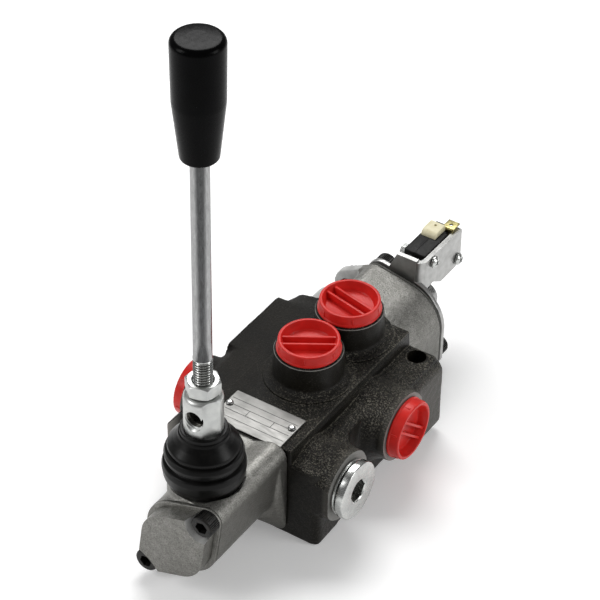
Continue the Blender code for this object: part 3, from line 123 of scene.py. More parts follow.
class Finish:
    """One procedural material, read in the part's own coordinates."""

    def __init__(self, name, **sockets):
        self.material = bpy.data.materials.new(name)
        self.material.use_nodes = True
        self.tree = self.material.node_tree
        self.shader = self.tree.nodes["Principled BSDF"]
        self.coordinates = self.tree.nodes.new("ShaderNodeTexCoord")
        self.normal = None
        for socket, value in sockets.items():
            self.shader.inputs[socket.replace("_", " ")].default_value = value

    def node(self, kind, inputs, **settings):
        """A node with its inputs linked or set by their names or numbers."""
        made = self.tree.nodes.new("ShaderNode" + kind)
        for setting, value in settings.items():
            setattr(made, setting, value)
        for socket, value in inputs.items():
            if isinstance(value, bpy.types.NodeSocket):
                self.tree.links.new(value, made.inputs[socket])
            else:
                made.inputs[socket].default_value = value
        return made

    def grain(self, size, detail=3.0, roughness=0.5, stretch=None):
        """Noise whose lumps are about that many millimetres wide, drawn out along an axis by stretch."""
        place = self.coordinates.outputs["Object"]
        if stretch:
            shrink = [1 / amount for amount in stretch]
            place = self.node("Mapping", {"Vector": place, "Scale": shrink}).outputs[0]
        inputs = {"Vector": place, "Scale": 1 / (size * MM), "Detail": detail, "Roughness": roughness}
        return self.node("TexNoise", inputs).outputs[0]

    def spread(self, source, first, last, ends=(0.35, 0.65)):
        """A source's middle stretch mapped to a range of values."""
        inputs = {"Value": source, "From Min": ends[0], "From Max": ends[1], "To Min": first, "To Max": last}
        return self.node("MapRange", inputs).outputs[0]

    def times(self, first, second):
        return self.node("Math", {0: first, 1: second}, operation="MULTIPLY").outputs[0]

    def plus(self, first, second):
        return self.node("Math", {0: first, 1: second}, operation="ADD").outputs[0]

    def colours(self, source, dark, light, ends=(0.35, 0.65)):
        """A ramp from a dark colour to a light one over a source's middle stretch."""
        ramp = self.node("ValToRGB", {"Fac": source})
        for stop, place, colour in zip(ramp.color_ramp.elements, ends, (dark, light)):
            stop.position = place
            stop.color = (*colour, 1)
        return ramp.outputs["Color"]

    def blend(self, share, first, second):
        inputs = {"Factor": share, 6: first, 7: second}
        return self.node("Mix", inputs, data_type="RGBA").outputs[2]

    def coordinate(self, kind, letter):
        split = self.node("SeparateXYZ", {"Vector": self.coordinates.outputs[kind]})
        return split.outputs["XYZ".index(letter)]

    def facing(self, letter, first, last, ends):
        """A value that follows one coordinate of the surface's own normal."""
        return self.spread(self.coordinate("Normal", letter), first, last, ends)

    def along(self, letter, first, last, start, end):
        """A value that changes between two places on an axis, in millimetres."""
        return self.spread(self.coordinate("Object", letter), first, last, (start * MM, end * MM))

    def bump(self, height, depth):
        """A bump that many millimetres deep, over the ones before it."""
        inputs = {"Height": height, "Distance": depth * MM}
        if self.normal:
            inputs["Normal"] = self.normal
        self.normal = self.node("Bump", inputs).outputs[0]

    def done(self, colour, roughness):
        self.tree.links.new(colour, self.shader.inputs["Base Color"])
        self.tree.links.new(roughness, self.shader.inputs["Roughness"])
        if self.normal:
            self.tree.links.new(self.normal, self.shader.inputs["Normal"])
        return self.material


def cast_iron(name="cast_iron_paint", extra_glints=0.0):
    """Dark paint over sand-cast iron: coarse on the upper faces, smoother on the walls and at the left.

    Light flecks on the grain of the upper faces are painted glints, more on the shelf and more again by the
    second argument's share. The right wall is painted lighter as painted light; the wall at the front left
    corner is lighter too.
    """
    finish = Finish(name, Specular_IOR_Level=0.25)
    pebbles = finish.grain(0.62, 2.0, 0.6)
    fine = finish.grain(0.35, 2.0)
    patches = finish.grain(16, 3.0)
    rightward = finish.along("X", 0.30, 1.0, -16, 8)
    coarse = finish.times(finish.facing("Z", 0.10, 1.0, (0.1, 0.6)), rightward)
    dark = finish.colours(patches, (0.0046, 0.0040, 0.0028), (0.0090, 0.0078, 0.0055))
    # painted light: the right wall is made lighter, as if lit by the right lamp and the floor
    dark = finish.blend(finish.along("X", 0.0, 0.75, 35.6, 37.4), dark, (0.062, 0.058, 0.050, 1))
    corner = finish.times(finish.along("X", 0.9, 0.0, -41, -34), finish.facing("Y", 1.0, 0.0, (-0.9, -0.5)))
    corner = finish.times(corner, finish.along("Y", 1.0, 0.0, -40, -20))
    dark = finish.blend(corner, dark, (0.260, 0.250, 0.230, 1))
    # the light colour of the painted glints on the grain
    light = finish.colours(patches, (0.115, 0.107, 0.085), (0.215, 0.201, 0.162))
    # painted glints: how many light flecks show, more on the shelf and more by the second argument
    glint_level = finish.plus(finish.plus(pebbles, finish.along("X", 0.0, 0.025, 19, 23)), extra_glints)
    # painted glints: light flecks on the upper, coarser faces, more towards the right
    painted_glints = finish.times(finish.spread(glint_level, 0.0, 1.0, (0.54, 0.68)), finish.times(coarse, rightward))
    finish.bump(finish.times(pebbles, coarse), 1.1)
    finish.bump(fine, 0.05)
    smoother = finish.spread(rightward, 0.72, 0.34, (0.3, 1.0))
    sheen = finish.facing("Z", 0.17, 0.28, (0.0, 0.7))
    finish.tree.links.new(sheen, finish.shader.inputs["Specular IOR Level"])
    roughness = finish.plus(smoother, finish.spread(fine, -0.05, 0.10))
    return finish.done(finish.blend(painted_glints, dark, light), roughness)


def cast_aluminium():
    """Blasted light castings, mottled, with fine pits and brighter peaks; painted shade darkens the
    undersides.

    The rear casting is darker behind, and the front one has painted shade on its right side.
    """
    finish = Finish("cast_aluminium_blasted", Metallic=0.8, Specular_IOR_Level=0.3)
    mottle = finish.grain(3.0, 5.0, 0.65)
    pits = finish.grain(0.50, 2.0)
    colour = finish.colours(mottle, (0.200, 0.197, 0.182), (0.335, 0.331, 0.310), (0.32, 0.68))
    colour = finish.blend(finish.spread(pits, 0.0, 0.6, (0.56, 0.70)), colour, (0.50, 0.49, 0.46, 1))
    colour = finish.blend(finish.spread(pits, 0.75, 0.0, (0.30, 0.47)), colour, (0.075, 0.073, 0.065, 1))
    colour = finish.blend(finish.along("Y", 0.0, 0.2, 46, 60), colour, (0.085, 0.083, 0.075, 1))
    # painted shade on the right side of the front casting
    painted_shade_right = finish.times(finish.facing("X", 0.0, 0.40, (0.78, 0.98)), finish.along("Y", 1.0, 0.0, -45, -30))
    colour = finish.blend(painted_shade_right, colour, (0.075, 0.072, 0.062, 1))
    # painted shade: faces that look down are darker
    colour = finish.blend(finish.facing("Z", 0.0, 1.0, (-0.55, 0.28)), (0.085, 0.082, 0.072, 1), colour)
    finish.bump(mottle, 0.12)
    finish.bump(pits, 0.22)
    return finish.done(colour, finish.spread(pits, 0.36, 0.52))


def drawn_rod():
    """The lever's drawn rod, whose gloss grows towards its edges, with marks along its length; its near-black
    colour is a painted dark reflection.
    """
    finish = Finish("drawn_rod", IOR=3.0, Specular_IOR_Level=0.2)
    marks = finish.grain(0.7, 4.0, 0.65, (1, 1, 5))
    # painted reflection: the near-black colour stands in for the dark surroundings that the rod reflects
    colour = finish.colours(marks, (0.012, 0.013, 0.014), (0.040, 0.044, 0.046))
    rim = finish.node("LayerWeight", {"Blend": 0.5}).outputs["Facing"]
    gloss = finish.times(finish.spread(rim, 0.13, 0.68, (0.235, 0.36)), finish.spread(marks, 0.8, 1.2))
    finish.tree.links.new(gloss, finish.shader.inputs["Specular IOR Level"])
    finish.bump(marks, 0.004)
    return finish.done(colour, finish.spread(marks, 0.16, 0.26))


def plain(name, tone, dark, light, gloss, depth=0.0, skin=None, ends=(0.35, 0.65), cloudy=False, **sockets):
    """A finish of two mixed tones under a bumped skin.

    tone and skin are grain's arguments. The skin, or else the tone, makes the bump and varies the gloss;
    when cloudy, the tone varies the gloss all the same.
    """
    finish = Finish(name, **sockets)
    cloud = finish.grain(*tone)
    surface = finish.grain(*skin) if skin else cloud
    if depth:
        finish.bump(surface, depth)
    colour = finish.colours(cloud, dark, light, ends)
    return finish.done(colour, finish.spread(cloud if cloudy else surface, *gloss))


def zinc_plate(name, gloss):
    """Plating with faint clouds and turning marks."""
    return plain(name, (4, 3.0), (0.50, 0.51, 0.50), (0.60, 0.61, 0.59), gloss, 0.003,
                 (0.9, 2.0, 0.5, (4, 4, 0.25)), Metallic=1.0)


FINISHES = {
    "cast_iron": cast_iron(),
    "cast_aluminium": cast_aluminium(),
    "red_plastic": plain("red_polyethylene", (6, 2.0), (0.57, 0.0190, 0.0145), (0.67, 0.0250, 0.0195),
                         (0.28, 0.38), 0.02, (0.6, 2.0), Specular_IOR_Level=0.22),
    "zinc_plate": zinc_plate("zinc_plating", (0.20, 0.30)),
    "bare_steel": plain("ground_steel", (0.5, 3.0, 0.5, (1, 6, 1)), (0.30, 0.30, 0.30), (0.42, 0.42, 0.41),
                        (0.22, 0.34), 0.004, Metallic=1.0),
    "black_steel": plain("black_oxide", (1.6, 4.0), (0.010, 0.010, 0.010), (0.030, 0.028, 0.025),
                         (0.26, 0.42), 0.02, ends=(0.4, 0.75), Metallic=0.5, Specular_IOR_Level=0.3),
    "rubber": plain("moulded_rubber", (5, 4.0, 0.6), (0.0018, 0.0018, 0.0017), (0.0048, 0.0045, 0.0040),
                    (0.30, 0.42), 0.02, (0.5, 2.0), (0.4, 0.8), True, Specular_IOR_Level=0.17),
    "black_plastic": plain("black_bakelite", (9, 2.0), (0.0008, 0.0008, 0.0009), (0.0016, 0.0016, 0.0018),
                           (0.20, 0.28), 0.008, (1.6, 2.0), Specular_IOR_Level=0.05),
    "cream_plastic": plain("cream_nylon", (2.5, 3.0), (0.68, 0.62, 0.40), (0.78, 0.73, 0.51),
                           (0.38, 0.52), 0.03, Specular_IOR_Level=0.4),
    "brass": plain("tarnished_brass", (1.5, 4.0), (0.31, 0.265, 0.11), (0.43, 0.385, 0.18),
                   (0.26, 0.40), 0.008, Metallic=1.0),
    "plate_aluminium": plain("satin_plate", (7, 3.0), (0.215, 0.213, 0.204), (0.285, 0.282, 0.270),
                             (0.42, 0.56), 0.006, (0.35, 3.0, 0.5, (14, 1, 1)),
                             Metallic=0.7, Specular_IOR_Level=0.4),
}
MACHINED = plain("machined_iron", (0.8, 3.0, 0.5, (1, 1, 0.2)), (0.20, 0.197, 0.185), (0.28, 0.276, 0.262),
                 (0.45, 0.60), 0.02, Metallic=0.3, Specular_IOR_Level=0.3)
# painted glints: the iron paint with more light flecks, for edges that catch the light
GLINT_EDGE = cast_iron("cast_iron_glint_edge", 0.075)
# painted highlight: a lighter casting finish for brightly lit faces
HIGHLIT_CASTING = plain("painted_highlight_casting", (3, 3.0), (0.42, 0.42, 0.41), (0.54, 0.54, 0.53), (0.4, 0.55), 0.03,
                      Metallic=0.3, Specular_IOR_Level=0.4)
SHEET_METAL = plain("rolled_sheet", (4, 4.0), (0.38, 0.38, 0.37), (0.47, 0.47, 0.46), (0.32, 0.44), 0.006,
                    (0.6, 3.0, 0.5, (1, 8, 1)), Metallic=1.0)
SATIN_ZINC = zinc_plate("satin_zinc", (0.36, 0.46))
ROD_STEEL = drawn_rod()
SWITCH_CASE = plain("switch_case_plastic", (3, 3.0), (0.005, 0.005, 0.005), (0.011, 0.011, 0.010),
                    (0.40, 0.55), 0.03, (0.4, 2.0), Specular_IOR_Level=0.15)
GASKET_BOARD = plain("gasket_board", (1.2, 4.0), (0.060, 0.060, 0.054), (0.110, 0.109, 0.100),
                     (0.6, 0.8), 0.02, Specular_IOR_Level=0.2)
# painted shade: a dark metal for thread roots and the insides of holes
SHADED_RECESS = plain("painted_shade_recess", (1.2, 3.0), (0.040, 0.040, 0.035), (0.110, 0.107, 0.095),
                     (0.22, 0.36), 0.01, Metallic=0.9)
PLATE_INK = plain("plate_enamel", (1.0, 3.0), (0.02, 0.02, 0.02), (0.05, 0.05, 0.048), (0.4, 0.55),
                  Specular_IOR_Level=0.3)


# ---- shapes


def link(name, data):
    """A new object in the scene."""
    made = bpy.data.objects.new(name, data)
    bpy.context.scene.collection.objects.link(made)
    return made


def mesh_from(bm, name):
    mesh = bpy.data.meshes.new(name)
    bm.to_mesh(mesh)
    bm.free()
    return mesh


def object_from(bm, name):
    """A bmesh as an object, smooth but for its sharp edges."""
    bmesh.ops.recalc_face_normals(bm, faces=bm.faces)
    if bm.calc_volume(signed=True) < 0:
        bmesh.ops.reverse_faces(bm, faces=bm.faces)
    return smooth(link(name, mesh_from(bm, name)))


def smooth(piece):
    piece.data.shade_smooth()
    piece.data.set_sharp_from_angle(angle=radians(32))
    return piece


def stitch(bm, rings):
    """Skin a row of rings of vertices and close both ends."""
    for below, above in zip(rings, rings[1:]):
        for side in range(len(below)):
            after = (side + 1) % len(below)
            bm.faces.new((below[side], below[after], above[after], above[side]))
    bm.faces.new(rings[0])
    bm.faces.new(rings[-1])


def rounded(corners, steps=5):
    """A closed outline through (u, v, corner radius) points, each corner an arc."""
    outline = []
    for index, (u, v, radius) in enumerate(corners):
        if radius == 0:
            outline.append((u, v))
            continue
        here = Vector((u, v))
        before = (Vector(corners[index - 1][:2]) - here).normalized()
        after = (Vector(corners[(index + 1) % len(corners)][:2]) - here).normalized()
        half = before.angle(after) / 2
        centre = here + (before + after).normalized() * radius / sin(half)
        first = here + before * radius / tan(half) - centre
        last = here + after * radius / tan(half) - centre
        start = atan2(first.y, first.x)
        sweep = (atan2(last.y, last.x) - start + pi) % (2 * pi) - pi
        for step in range(steps + 1):
            angle = start + sweep * step / steps
            outline.append((centre.x + radius * cos(angle), centre.y + radius * sin(angle)))
    return outline


def circle(u, v, radius, steps, turn=0.0):
    angles = [turn + 2 * pi * step / steps for step in range(steps)]
    return [(u + radius * cos(angle), v + radius * sin(angle)) for angle in angles]


def hull_outline(circles, steps=SIDES):
    """The tight band round a set of (u, v, radius) circles."""
    points = [place for u, v, radius in circles for place in circle(u, v, radius, steps)]
    return [points[index] for index in convex_hull_2d(points)]


def hexagon(u, v, across, turn=0.0):
    return circle(u, v, across / 2 / cos(pi / 6), 6, turn)


def lathe(name, corners, centre, axis=Z_AXIS, sides=SIDES, steps=4):
    """Turn (distance along the axis, radius, fillet) corners round an axis; the profile closes on itself."""
    profile = rounded([(*corner, 0)[:3] for corner in corners], steps)
    bm = bmesh.new()
    points = [bm.verts.new((max(radius, 0), 0, along)) for along, radius in profile]
    pairs = zip(points, points[1:] + points[:1])
    edges = [bm.edges.new(pair) for pair in pairs if pair[0].co.x > 0 or pair[1].co.x > 0]
    bmesh.ops.spin(bm, geom=points + edges, cent=(0, 0, 0), axis=(0, 0, 1), angle=2 * pi, steps=sides,
                   use_merge=True)
    bmesh.ops.remove_doubles(bm, verts=bm.verts, dist=1e-7)
    bmesh.ops.dissolve_degenerate(bm, edges=bm.edges, dist=1e-8)
    turn = Z_AXIS.rotation_difference(axis).to_matrix().to_4x4()
    bm.transform(Matrix.Translation(centre) @ turn)
    return object_from(bm, name)


def point(letter, along, u, v):
    """The place that far along an axis, at u and v on the other two."""
    return {"X": (along, u, v), "Y": (u, along, v), "Z": (u, v, along)}[letter]


def rods(name, radius, letter, places, start, end, sides=FEW_SIDES):
    """Round bars or cutters along an axis, one at each (u, v) place."""
    made = []
    for place in places:
        first = Vector(point(letter, start, *place))
        axis = Vector(point(letter, end, *place)) - first
        profile = [(0, 0), (0, radius), (axis.length, radius), (axis.length, 0)]
        made.append(lathe(name, profile, first, axis.normalized(), sides))
    return made


def slab(name, outline, letter, start, end, edge=0.0):
    """Push a flat outline along X (outline in Y, Z), Y (outline in X, Z) or Z (outline in X, Y)."""
    push = {"X": X_AXIS, "Y": Y_AXIS, "Z": Z_AXIS}[letter] * (end - start)
    bm = bmesh.new()
    face = bm.faces.new([bm.verts.new(point(letter, start, u, v)) for u, v in outline])
    grown = bmesh.ops.extrude_face_region(bm, geom=[face])
    moved = [item for item in grown["geom"] if isinstance(item, bmesh.types.BMVert)]
    bmesh.ops.translate(bm, verts=moved, vec=push)
    piece = object_from(bm, name)
    return bevelled(piece, edge) if edge else piece


def loft(name, rear, rear_y, front, front_y):
    """The hull between two convex outlines in X and Z."""
    bm = bmesh.new()
    places = [(x, rear_y, z) for x, z in rear] + [(x, front_y, z) for x, z in front]
    bmesh.ops.convex_hull(bm, input=[bm.verts.new(place) for place in places])
    return object_from(bm, name)


def block(name, lowest, highest, edge=0.0):
    left, front, foot = lowest
    right, back, top = highest
    return slab(name, [(left, front), (right, front), (right, back), (left, back)], "Z", foot, top, edge)


def settle(piece):
    """Apply a piece's modifiers to its mesh."""
    bpy.context.view_layer.update()
    graph = bpy.context.evaluated_depsgraph_get()
    mesh = bpy.data.meshes.new_from_object(piece.evaluated_get(graph))
    old = piece.data
    piece.modifiers.clear()
    piece.data = mesh
    bpy.data.meshes.remove(old)
    return smooth(piece)


def bevelled(piece, width, segments=3, angle=40):
    bevel = piece.modifiers.new("bevel", "BEVEL")
    bevel.width = width
    bevel.segments = segments
    bevel.limit_method = "ANGLE"
    bevel.angle_limit = radians(angle)
    return settle(piece)


def boolean(piece, tool, operation):
    modifier = piece.modifiers.new(operation, "BOOLEAN")
    modifier.operation = operation
    modifier.solver = "MANIFOLD"
    modifier.object = tool


def combine(piece, tools, operation):
    for tool in tools:
        boolean(piece, tool, operation)
    settle(piece)
    for tool in tools:
        bpy.data.objects.remove(tool)
    return piece


def cut(piece, *tools):
    return combine(piece, tools, "DIFFERENCE")


def add(piece, *tools):
    return combine(piece, tools, "UNION")


def joined(solids):
    """Solids put together as they are, in one bmesh."""
    bm = bmesh.new()
    for solid in solids:
        bm.from_mesh(solid.data)
        bpy.data.objects.remove(solid)
    return bm


def casting(name, solids, voxel, rounding, hollows=()):
    """Solids fused into one casting whose edges and inner corners are rounded."""
    piece = link(name, mesh_from(joined(solids), name))
    for hollow in (None, *hollows):
        if hollow:
            boolean(piece, hollow, "DIFFERENCE")
        remesh = piece.modifiers.new("remesh", "REMESH")
        remesh.mode = "VOXEL"
        remesh.voxel_size = voxel
    even = piece.modifiers.new("even", "SMOOTH")
    even.factor = 0.5
    even.iterations = rounding
    settle(piece)
    for hollow in hollows:
        bpy.data.objects.remove(hollow)
    return piece


def roughen(piece, *waves):
    """Push a surface in and out by noise; waves are (lump size, depth) pairs."""
    normals = [vertex.normal.copy() for vertex in piece.data.vertices]
    for vertex, normal in zip(piece.data.vertices, normals):
        push = sum(depth * noise.noise(vertex.co / size) for size, depth in waves)
        vertex.co += normal * push
    piece.data.update()


def held(share):
    """A share kept between 0 and 1."""
    return min(1, max(0, share))


def ease(share):
    """A share kept between 0 and 1, slow at both ends."""
    share = held(share)
    return share * share * (3 - 2 * share)


def paint(piece, finish):
    piece.data.materials.clear()
    piece.data.materials.append(finish)


def repaint(piece, finish, chosen):
    """Give the faces that a test picks a finish of their own."""
    piece.data.materials.append(finish)
    index = len(piece.data.materials) - 1
    for face in piece.data.polygons:
        if chosen(face.center, face.normal):
            face.material_index = index


def seat(piece, slot, *nodes, body="valve", finish=None):
    """Finish a piece and ride it on its body, in place of the nodes that it stands for."""
    if not any(piece.data.materials):
        paint(piece, finish or FINISHES[slot])
    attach(piece, body)
    if nodes:
        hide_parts(*nodes)


# ---- valve body

SHELF_Z = SPOOL_Z + 12.8 * MM
WALL_RIGHT = BODY_HIGH.x - 3.5 * MM
WALL_LEFT = BODY_LOW.x + 3.0 * MM
WALL_END = BODY_HIGH.y - 0.15 * MM
PLATFORM_HALF = 20.5 * MM
LEFT_EDGE_Z = SPOOL_Z + 14.0 * MM
LEFT_CREST_X = -35.5 * MM
LEFT_CREST_Z = SPOOL_Z + 18.0 * MM
LEFT_FOLD = -22.4 * MM
BOSS_TOP_R = 14.8 * MM
SIDE_BOSS_R = 15.8 * MM
FAR = 60 * MM


def body_block():
    """The plain body: its section along the spool, cut to its plan."""
    bottom = BODY_LOW.z + 0.1 * MM
    section = [
        (WALL_LEFT, bottom), (WALL_RIGHT, bottom), (WALL_RIGHT, SHELF_Z), (PLATFORM_HALF, SHELF_Z),
        (PLATFORM_HALF, PLATFORM_Z), (LEFT_FOLD, PLATFORM_Z), (LEFT_CREST_X, LEFT_CREST_Z),
        (WALL_LEFT + 1.8 * MM, LEFT_EDGE_Z), (WALL_LEFT, LEFT_EDGE_Z - 3 * MM),
    ]
    whole = slab("body_block", section, "Y", -WALL_END, WALL_END)
    front_x = WALL_RIGHT - 1.0 * MM
    waist_front = RELIEF_Y + 10 * MM
    waist_x = WALL_RIGHT - 6.5 * MM
    plan = rounded([
        (WALL_LEFT - SPARE, -WALL_END, 3 * MM), (front_x, -WALL_END, 3 * MM),
        (front_x - 1.0 * MM, waist_front, 4 * MM), (waist_x, waist_front + 6.5 * MM, 4 * MM),
        (waist_x, INLET_Y + 4 * MM, 4 * MM), (WALL_RIGHT, INLET_Y + 10.5 * MM, 4 * MM),
        (WALL_RIGHT, WALL_END, 3 * MM), (WALL_LEFT - SPARE, WALL_END, 7 * MM),
    ])
    return combine(whole, [slab("body_plan", plan, "Z", -SPARE, PLATFORM_Z + SPARE)], "INTERSECT")


def side_boss(y, x, flare):
    """The round boss of a side port, and its wider foot on the wall."""
    reach = abs(x) + OVER
    foot_r = SIDE_BOSS_R + flare
    outward = X_AXIS * (1 if x > 0 else -1)
    neck = [(0, 0), (0, SIDE_BOSS_R), (reach, SIDE_BOSS_R), (reach, 0)]
    flared = [
        (0, 0), (0, foot_r), (reach - 10 * MM, foot_r, 2 * MM), (reach - 4.2 * MM, SIDE_BOSS_R, 1 * MM),
        (reach - 2 * MM, SIDE_BOSS_R - 1 * MM), (reach - 2 * MM, 0),
    ]
    solids = []
    for name, profile, top in (("side_neck", neck, FAR), ("side_flare", flared, SHELF_Z + 0.5 * MM)):
        limit = block("limit", (-FAR, -WALL_END, 0), (FAR, WALL_END, top))
        solids.append(combine(lathe(name, profile, (0, y, SPOOL_Z), outward), [limit], "INTERSECT"))
    return solids


def body_solids():
    """The bosses and swellings that stand out of the plain body."""
    solids = [body_block()]
    foot = PLATFORM_Z - SPOOL_Z
    ring = foot + 0.6 * MM
    rise = BODY_HIGH.z - SPOOL_Z + OVER
    for y in (A_Y, B_Y):
        solids.append(lathe("foot_ring", [
            (0, 0), (0, 19.0 * MM), (ring - 0.3 * MM, 19.0 * MM), (ring - 0.1 * MM, 16.8 * MM, 1.5 * MM),
            (ring + 1.6 * MM, 15.2 * MM), (ring + 1.6 * MM, 0),
        ], (0, y, SPOOL_Z)))
        solids.append(lathe("port_boss", [
            (0, 0), (0, 15.8 * MM), (foot, 15.8 * MM), (foot + 1.5 * MM, 15.3 * MM, 2 * MM),
            (rise, BOSS_TOP_R), (rise, 0),
        ], (0, y, SPOOL_Z)))
    solids += side_boss(INLET_Y, BODY_HIGH.x, 3.6 * MM)
    solids += side_boss(RELIEF_Y, BODY_HIGH.x, 1.2 * MM)
    solids += side_boss(TANK_Y, BODY_LOW.x, 1.0 * MM)
    right = WALL_RIGHT + 2.6 * MM
    solids.append(slab("right_swelling", rounded([
        (0, 3 * MM, 0), (right, 3 * MM, 3 * MM), (right, SHELF_Z - 5 * MM, 4 * MM),
        (WALL_RIGHT - 1 * MM, SHELF_Z - 0.5 * MM, 1 * MM), (0, SHELF_Z - 0.5 * MM, 0),
    ]), "Y", INLET_Y + SIDE_BOSS_R - 2 * MM, WALL_END))
    left = BODY_LOW.x + 2.6 * MM
    solids.append(slab("left_swelling", rounded([
        (0, 3 * MM, 0), (left, 3 * MM, 3 * MM), (left, LEFT_EDGE_Z - 4 * MM, 4 * MM),
        (left + 1.8 * MM, LEFT_CREST_Z + 0.4 * MM, 0.6 * MM),
        (LEFT_CREST_X + 3 * MM, LEFT_CREST_Z + 0.6 * MM, 0), (LEFT_FOLD, PLATFORM_Z - 0.5 * MM, 0),
        (0, PLATFORM_Z - 1 * MM, 0),
    ]), "Y", -2.6 * MM, 36.5 * MM))
    return solids


def crisp_edges():
    """What the casting keeps sharp: the platform's edge, its folds and the bosses' feet."""
    edge_x = PLATFORM_HALF + 0.1 * MM
    end = WALL_END - 0.1 * MM
    edge = slab("platform_edge", [
        (-15 * MM, SHELF_Z - 2 * MM), (edge_x + 0.5 * MM, SHELF_Z - 2 * MM),
        (edge_x, PLATFORM_Z - 0.02 * MM), (-15 * MM, PLATFORM_Z - 0.18 * MM),
    ], "Y", -end, end, 0.55 * MM)
    lip_r = 2.2 * MM
    lip_end = 35.5 * MM + end
    lip = lathe("shelf_lip", [
        (0, 0), (0, lip_r), (lip_end - 7 * MM, lip_r), (lip_end, lip_r - 0.9 * MM), (lip_end, 0),
    ], (PLATFORM_HALF + 4.6 * MM, -end, SHELF_Z - lip_r + 0.75 * MM), Y_AXIS, FEW_SIDES)
    fold_z = PLATFORM_Z - 0.6 * MM
    steps = [lathe("foot_step", [
        (0, 0), (0, 19.6 * MM), (2.85 * MM, 19.4 * MM, 0.4 * MM), (2.65 * MM, 16.1 * MM, 1.2 * MM),
        (3.9 * MM, 15.2 * MM), (3.9 * MM, 0),
    ], (0, y, PLATFORM_Z - 2 * MM)) for y in (A_Y, B_Y)]
    return [edge, lip, *rods("fold_line", 0.6 * MM, "Y", [(LEFT_FOLD, fold_z)], -end, -2 * MM), *steps]


def port_bore(face, inward):
    """A port's threaded bore, narrowing to the gallery that meets the spool's bore."""
    reach = (Vector(face) - Vector((0, face[1], SPOOL_Z))).length
    gallery_r = 6.2 * MM
    depth = 13.8 * MM
    return lathe("port_bore", [
        (-2 * SPARE, 0), (-2 * SPARE, THREAD_BORE_R), (depth, THREAD_BORE_R),
        (depth + THREAD_BORE_R - gallery_r, gallery_r), (reach, gallery_r), (reach, 0),
    ], face, inward)


def stepped_bore(name, y, steps):
    """A bore from the right wall to the spool, in (x, radius) steps from the inside out."""
    profile = [(0, 0)]
    start = 0
    for end, radius in steps:
        profile += [(start, radius), (end, radius)]
        start = end
    return lathe(name, profile + [(start, 0)], (0, y, SPOOL_Z), X_AXIS)


def side_rods():
    """The inlet's bore, with the load check's seat behind it, and the relief valve's chamber and thread."""
    seat_low, seat_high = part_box("check_seat")
    outside = BODY_HIGH.x + 2 * SPARE
    return [
        stepped_bore("inlet_bore", INLET_Y, [
            (low("check_spring").x - GAP, 3.5 * MM), (seat_low.x - GAP, 6.2 * MM),
            (seat_high.x + GAP, radius_of("check_seat", "X") + GAP), (outside, THREAD_BORE_R)]),
        stepped_bore("relief_bore", RELIEF_Y, [
            (low("relief_poppet").x + 1.0 * MM, 3.0 * MM), (low("relief_plug").x - GAP, 5.2 * MM),
            (outside, THREAD_BORE_R)]),
    ]


def spool_bore():
    """The bore right through, with a gallery at each port and a seal recess at each end."""
    bore_r = radius_of("spool", "Y") + GAP
    seal_r = radius_of("spool_seal_front", "Y") + GAP
    recess = high("spool_seal_front").y + GAP
    end = BODY_HIGH.y + 2 * SPARE
    half = 3.5 * MM
    gallery_r = 10.8 * MM
    profile = [(-end, 0), (-end, seal_r), (recess, seal_r), (recess, bore_r)]
    for y in (RELIEF_Y, TANK_Y, A_Y, INLET_Y, B_Y):
        profile += [(y - half, bore_r), (y - half, gallery_r), (y + half, gallery_r), (y + half, bore_r)]
    profile += [(-recess, bore_r), (-recess, seal_r), (end, seal_r), (end, 0)]
    return lathe("spool_bore", profile, (0, 0, SPOOL_Z), Y_AXIS)


def screw_places(front):
    side = SCREW_X if front else -SCREW_X
    return [(side, SPOOL_Z + SCREW_UP), (-side, SPOOL_Z - SCREW_UP)]


def body_holes():
    top = [port_bore((0, y, BODY_HIGH.z), -Z_AXIS) for y in (A_Y, B_Y)]
    holes = [*top, port_bore((BODY_LOW.x, TANK_Y, SPOOL_Z), X_AXIS), *side_rods(), spool_bore()]
    mounts = [(WALL_RIGHT - 7.8 * MM, BODY_HIGH.y - 5.5 * MM), (WALL_LEFT + 7 * MM, BODY_LOW.y + 7.5 * MM)]
    holes += rods("mount_hole", 4.3 * MM, "Z", mounts, -SPARE, PLATFORM_Z + 2 * SPARE)
    start, tip = BODY_HIGH.y + SPARE, low("rear_screw_upper").y - GAP
    for front, side in ((True, -1), (False, 1)):
        holes += rods("tapped_hole", 3.0 * MM + GAP, "Y", screw_places(front), side * start, side * tip)
    for node in RIVETS:
        deep = low(node).z - GAP
        holes += rods("rivet_hole", RIVET_HOLE_R, "Z", [middle(node).xy], PLATFORM_Z + SPARE, deep)
    return holes


def trimmers():
    """Blocks that trim the ports' faces flat."""
    far = 20 * MM
    wide = 18 * MM
    return [
        block("trim_top", (-wide, A_Y - wide, BODY_HIGH.z), (wide, B_Y + wide, BODY_HIGH.z + far)),
        block("trim_right", (BODY_HIGH.x, -FAR, -far), (BODY_HIGH.x + far, FAR, FAR)),
        block("trim_left", (BODY_LOW.x - far, -FAR, -far), (BODY_LOW.x, FAR, FAR)),
    ]


def top_chamfers():
    """Rings that break the edges of the two upper bosses."""
    deep = 0.35 * MM
    above = 0.1 * MM
    far_r = BOSS_TOP_R + 2 * MM
    profile = [(-deep, BOSS_TOP_R + 0.15 * MM), (above, BOSS_TOP_R - deep), (above, far_r), (-deep, far_r)]
    return [lathe("top_chamfer", profile, (0, y, BODY_HIGH.z)) for y in (A_Y, B_Y)]


def droop(body):
    """Lower the top of the body towards its rear left corner, and keep it between its end faces."""
    for vertex in body.data.vertices:
        x, y, z = vertex.co
        rear = ease((y - 33 * MM) / (13 * MM))
        upper = ease((z - 28 * MM) / (10 * MM))
        fall = 2.2 * MM * ease((-16 * MM - x) / (8 * MM)) + 1.4 * MM * ease((-30 * MM - x) / (9 * MM))
        vertex.co.z -= fall * rear * upper
        vertex.co.y = max(-BODY_HIGH.y, min(BODY_HIGH.y, vertex.co.y))
        vertex.co.z = max(BODY_LOW.z, vertex.co.z)


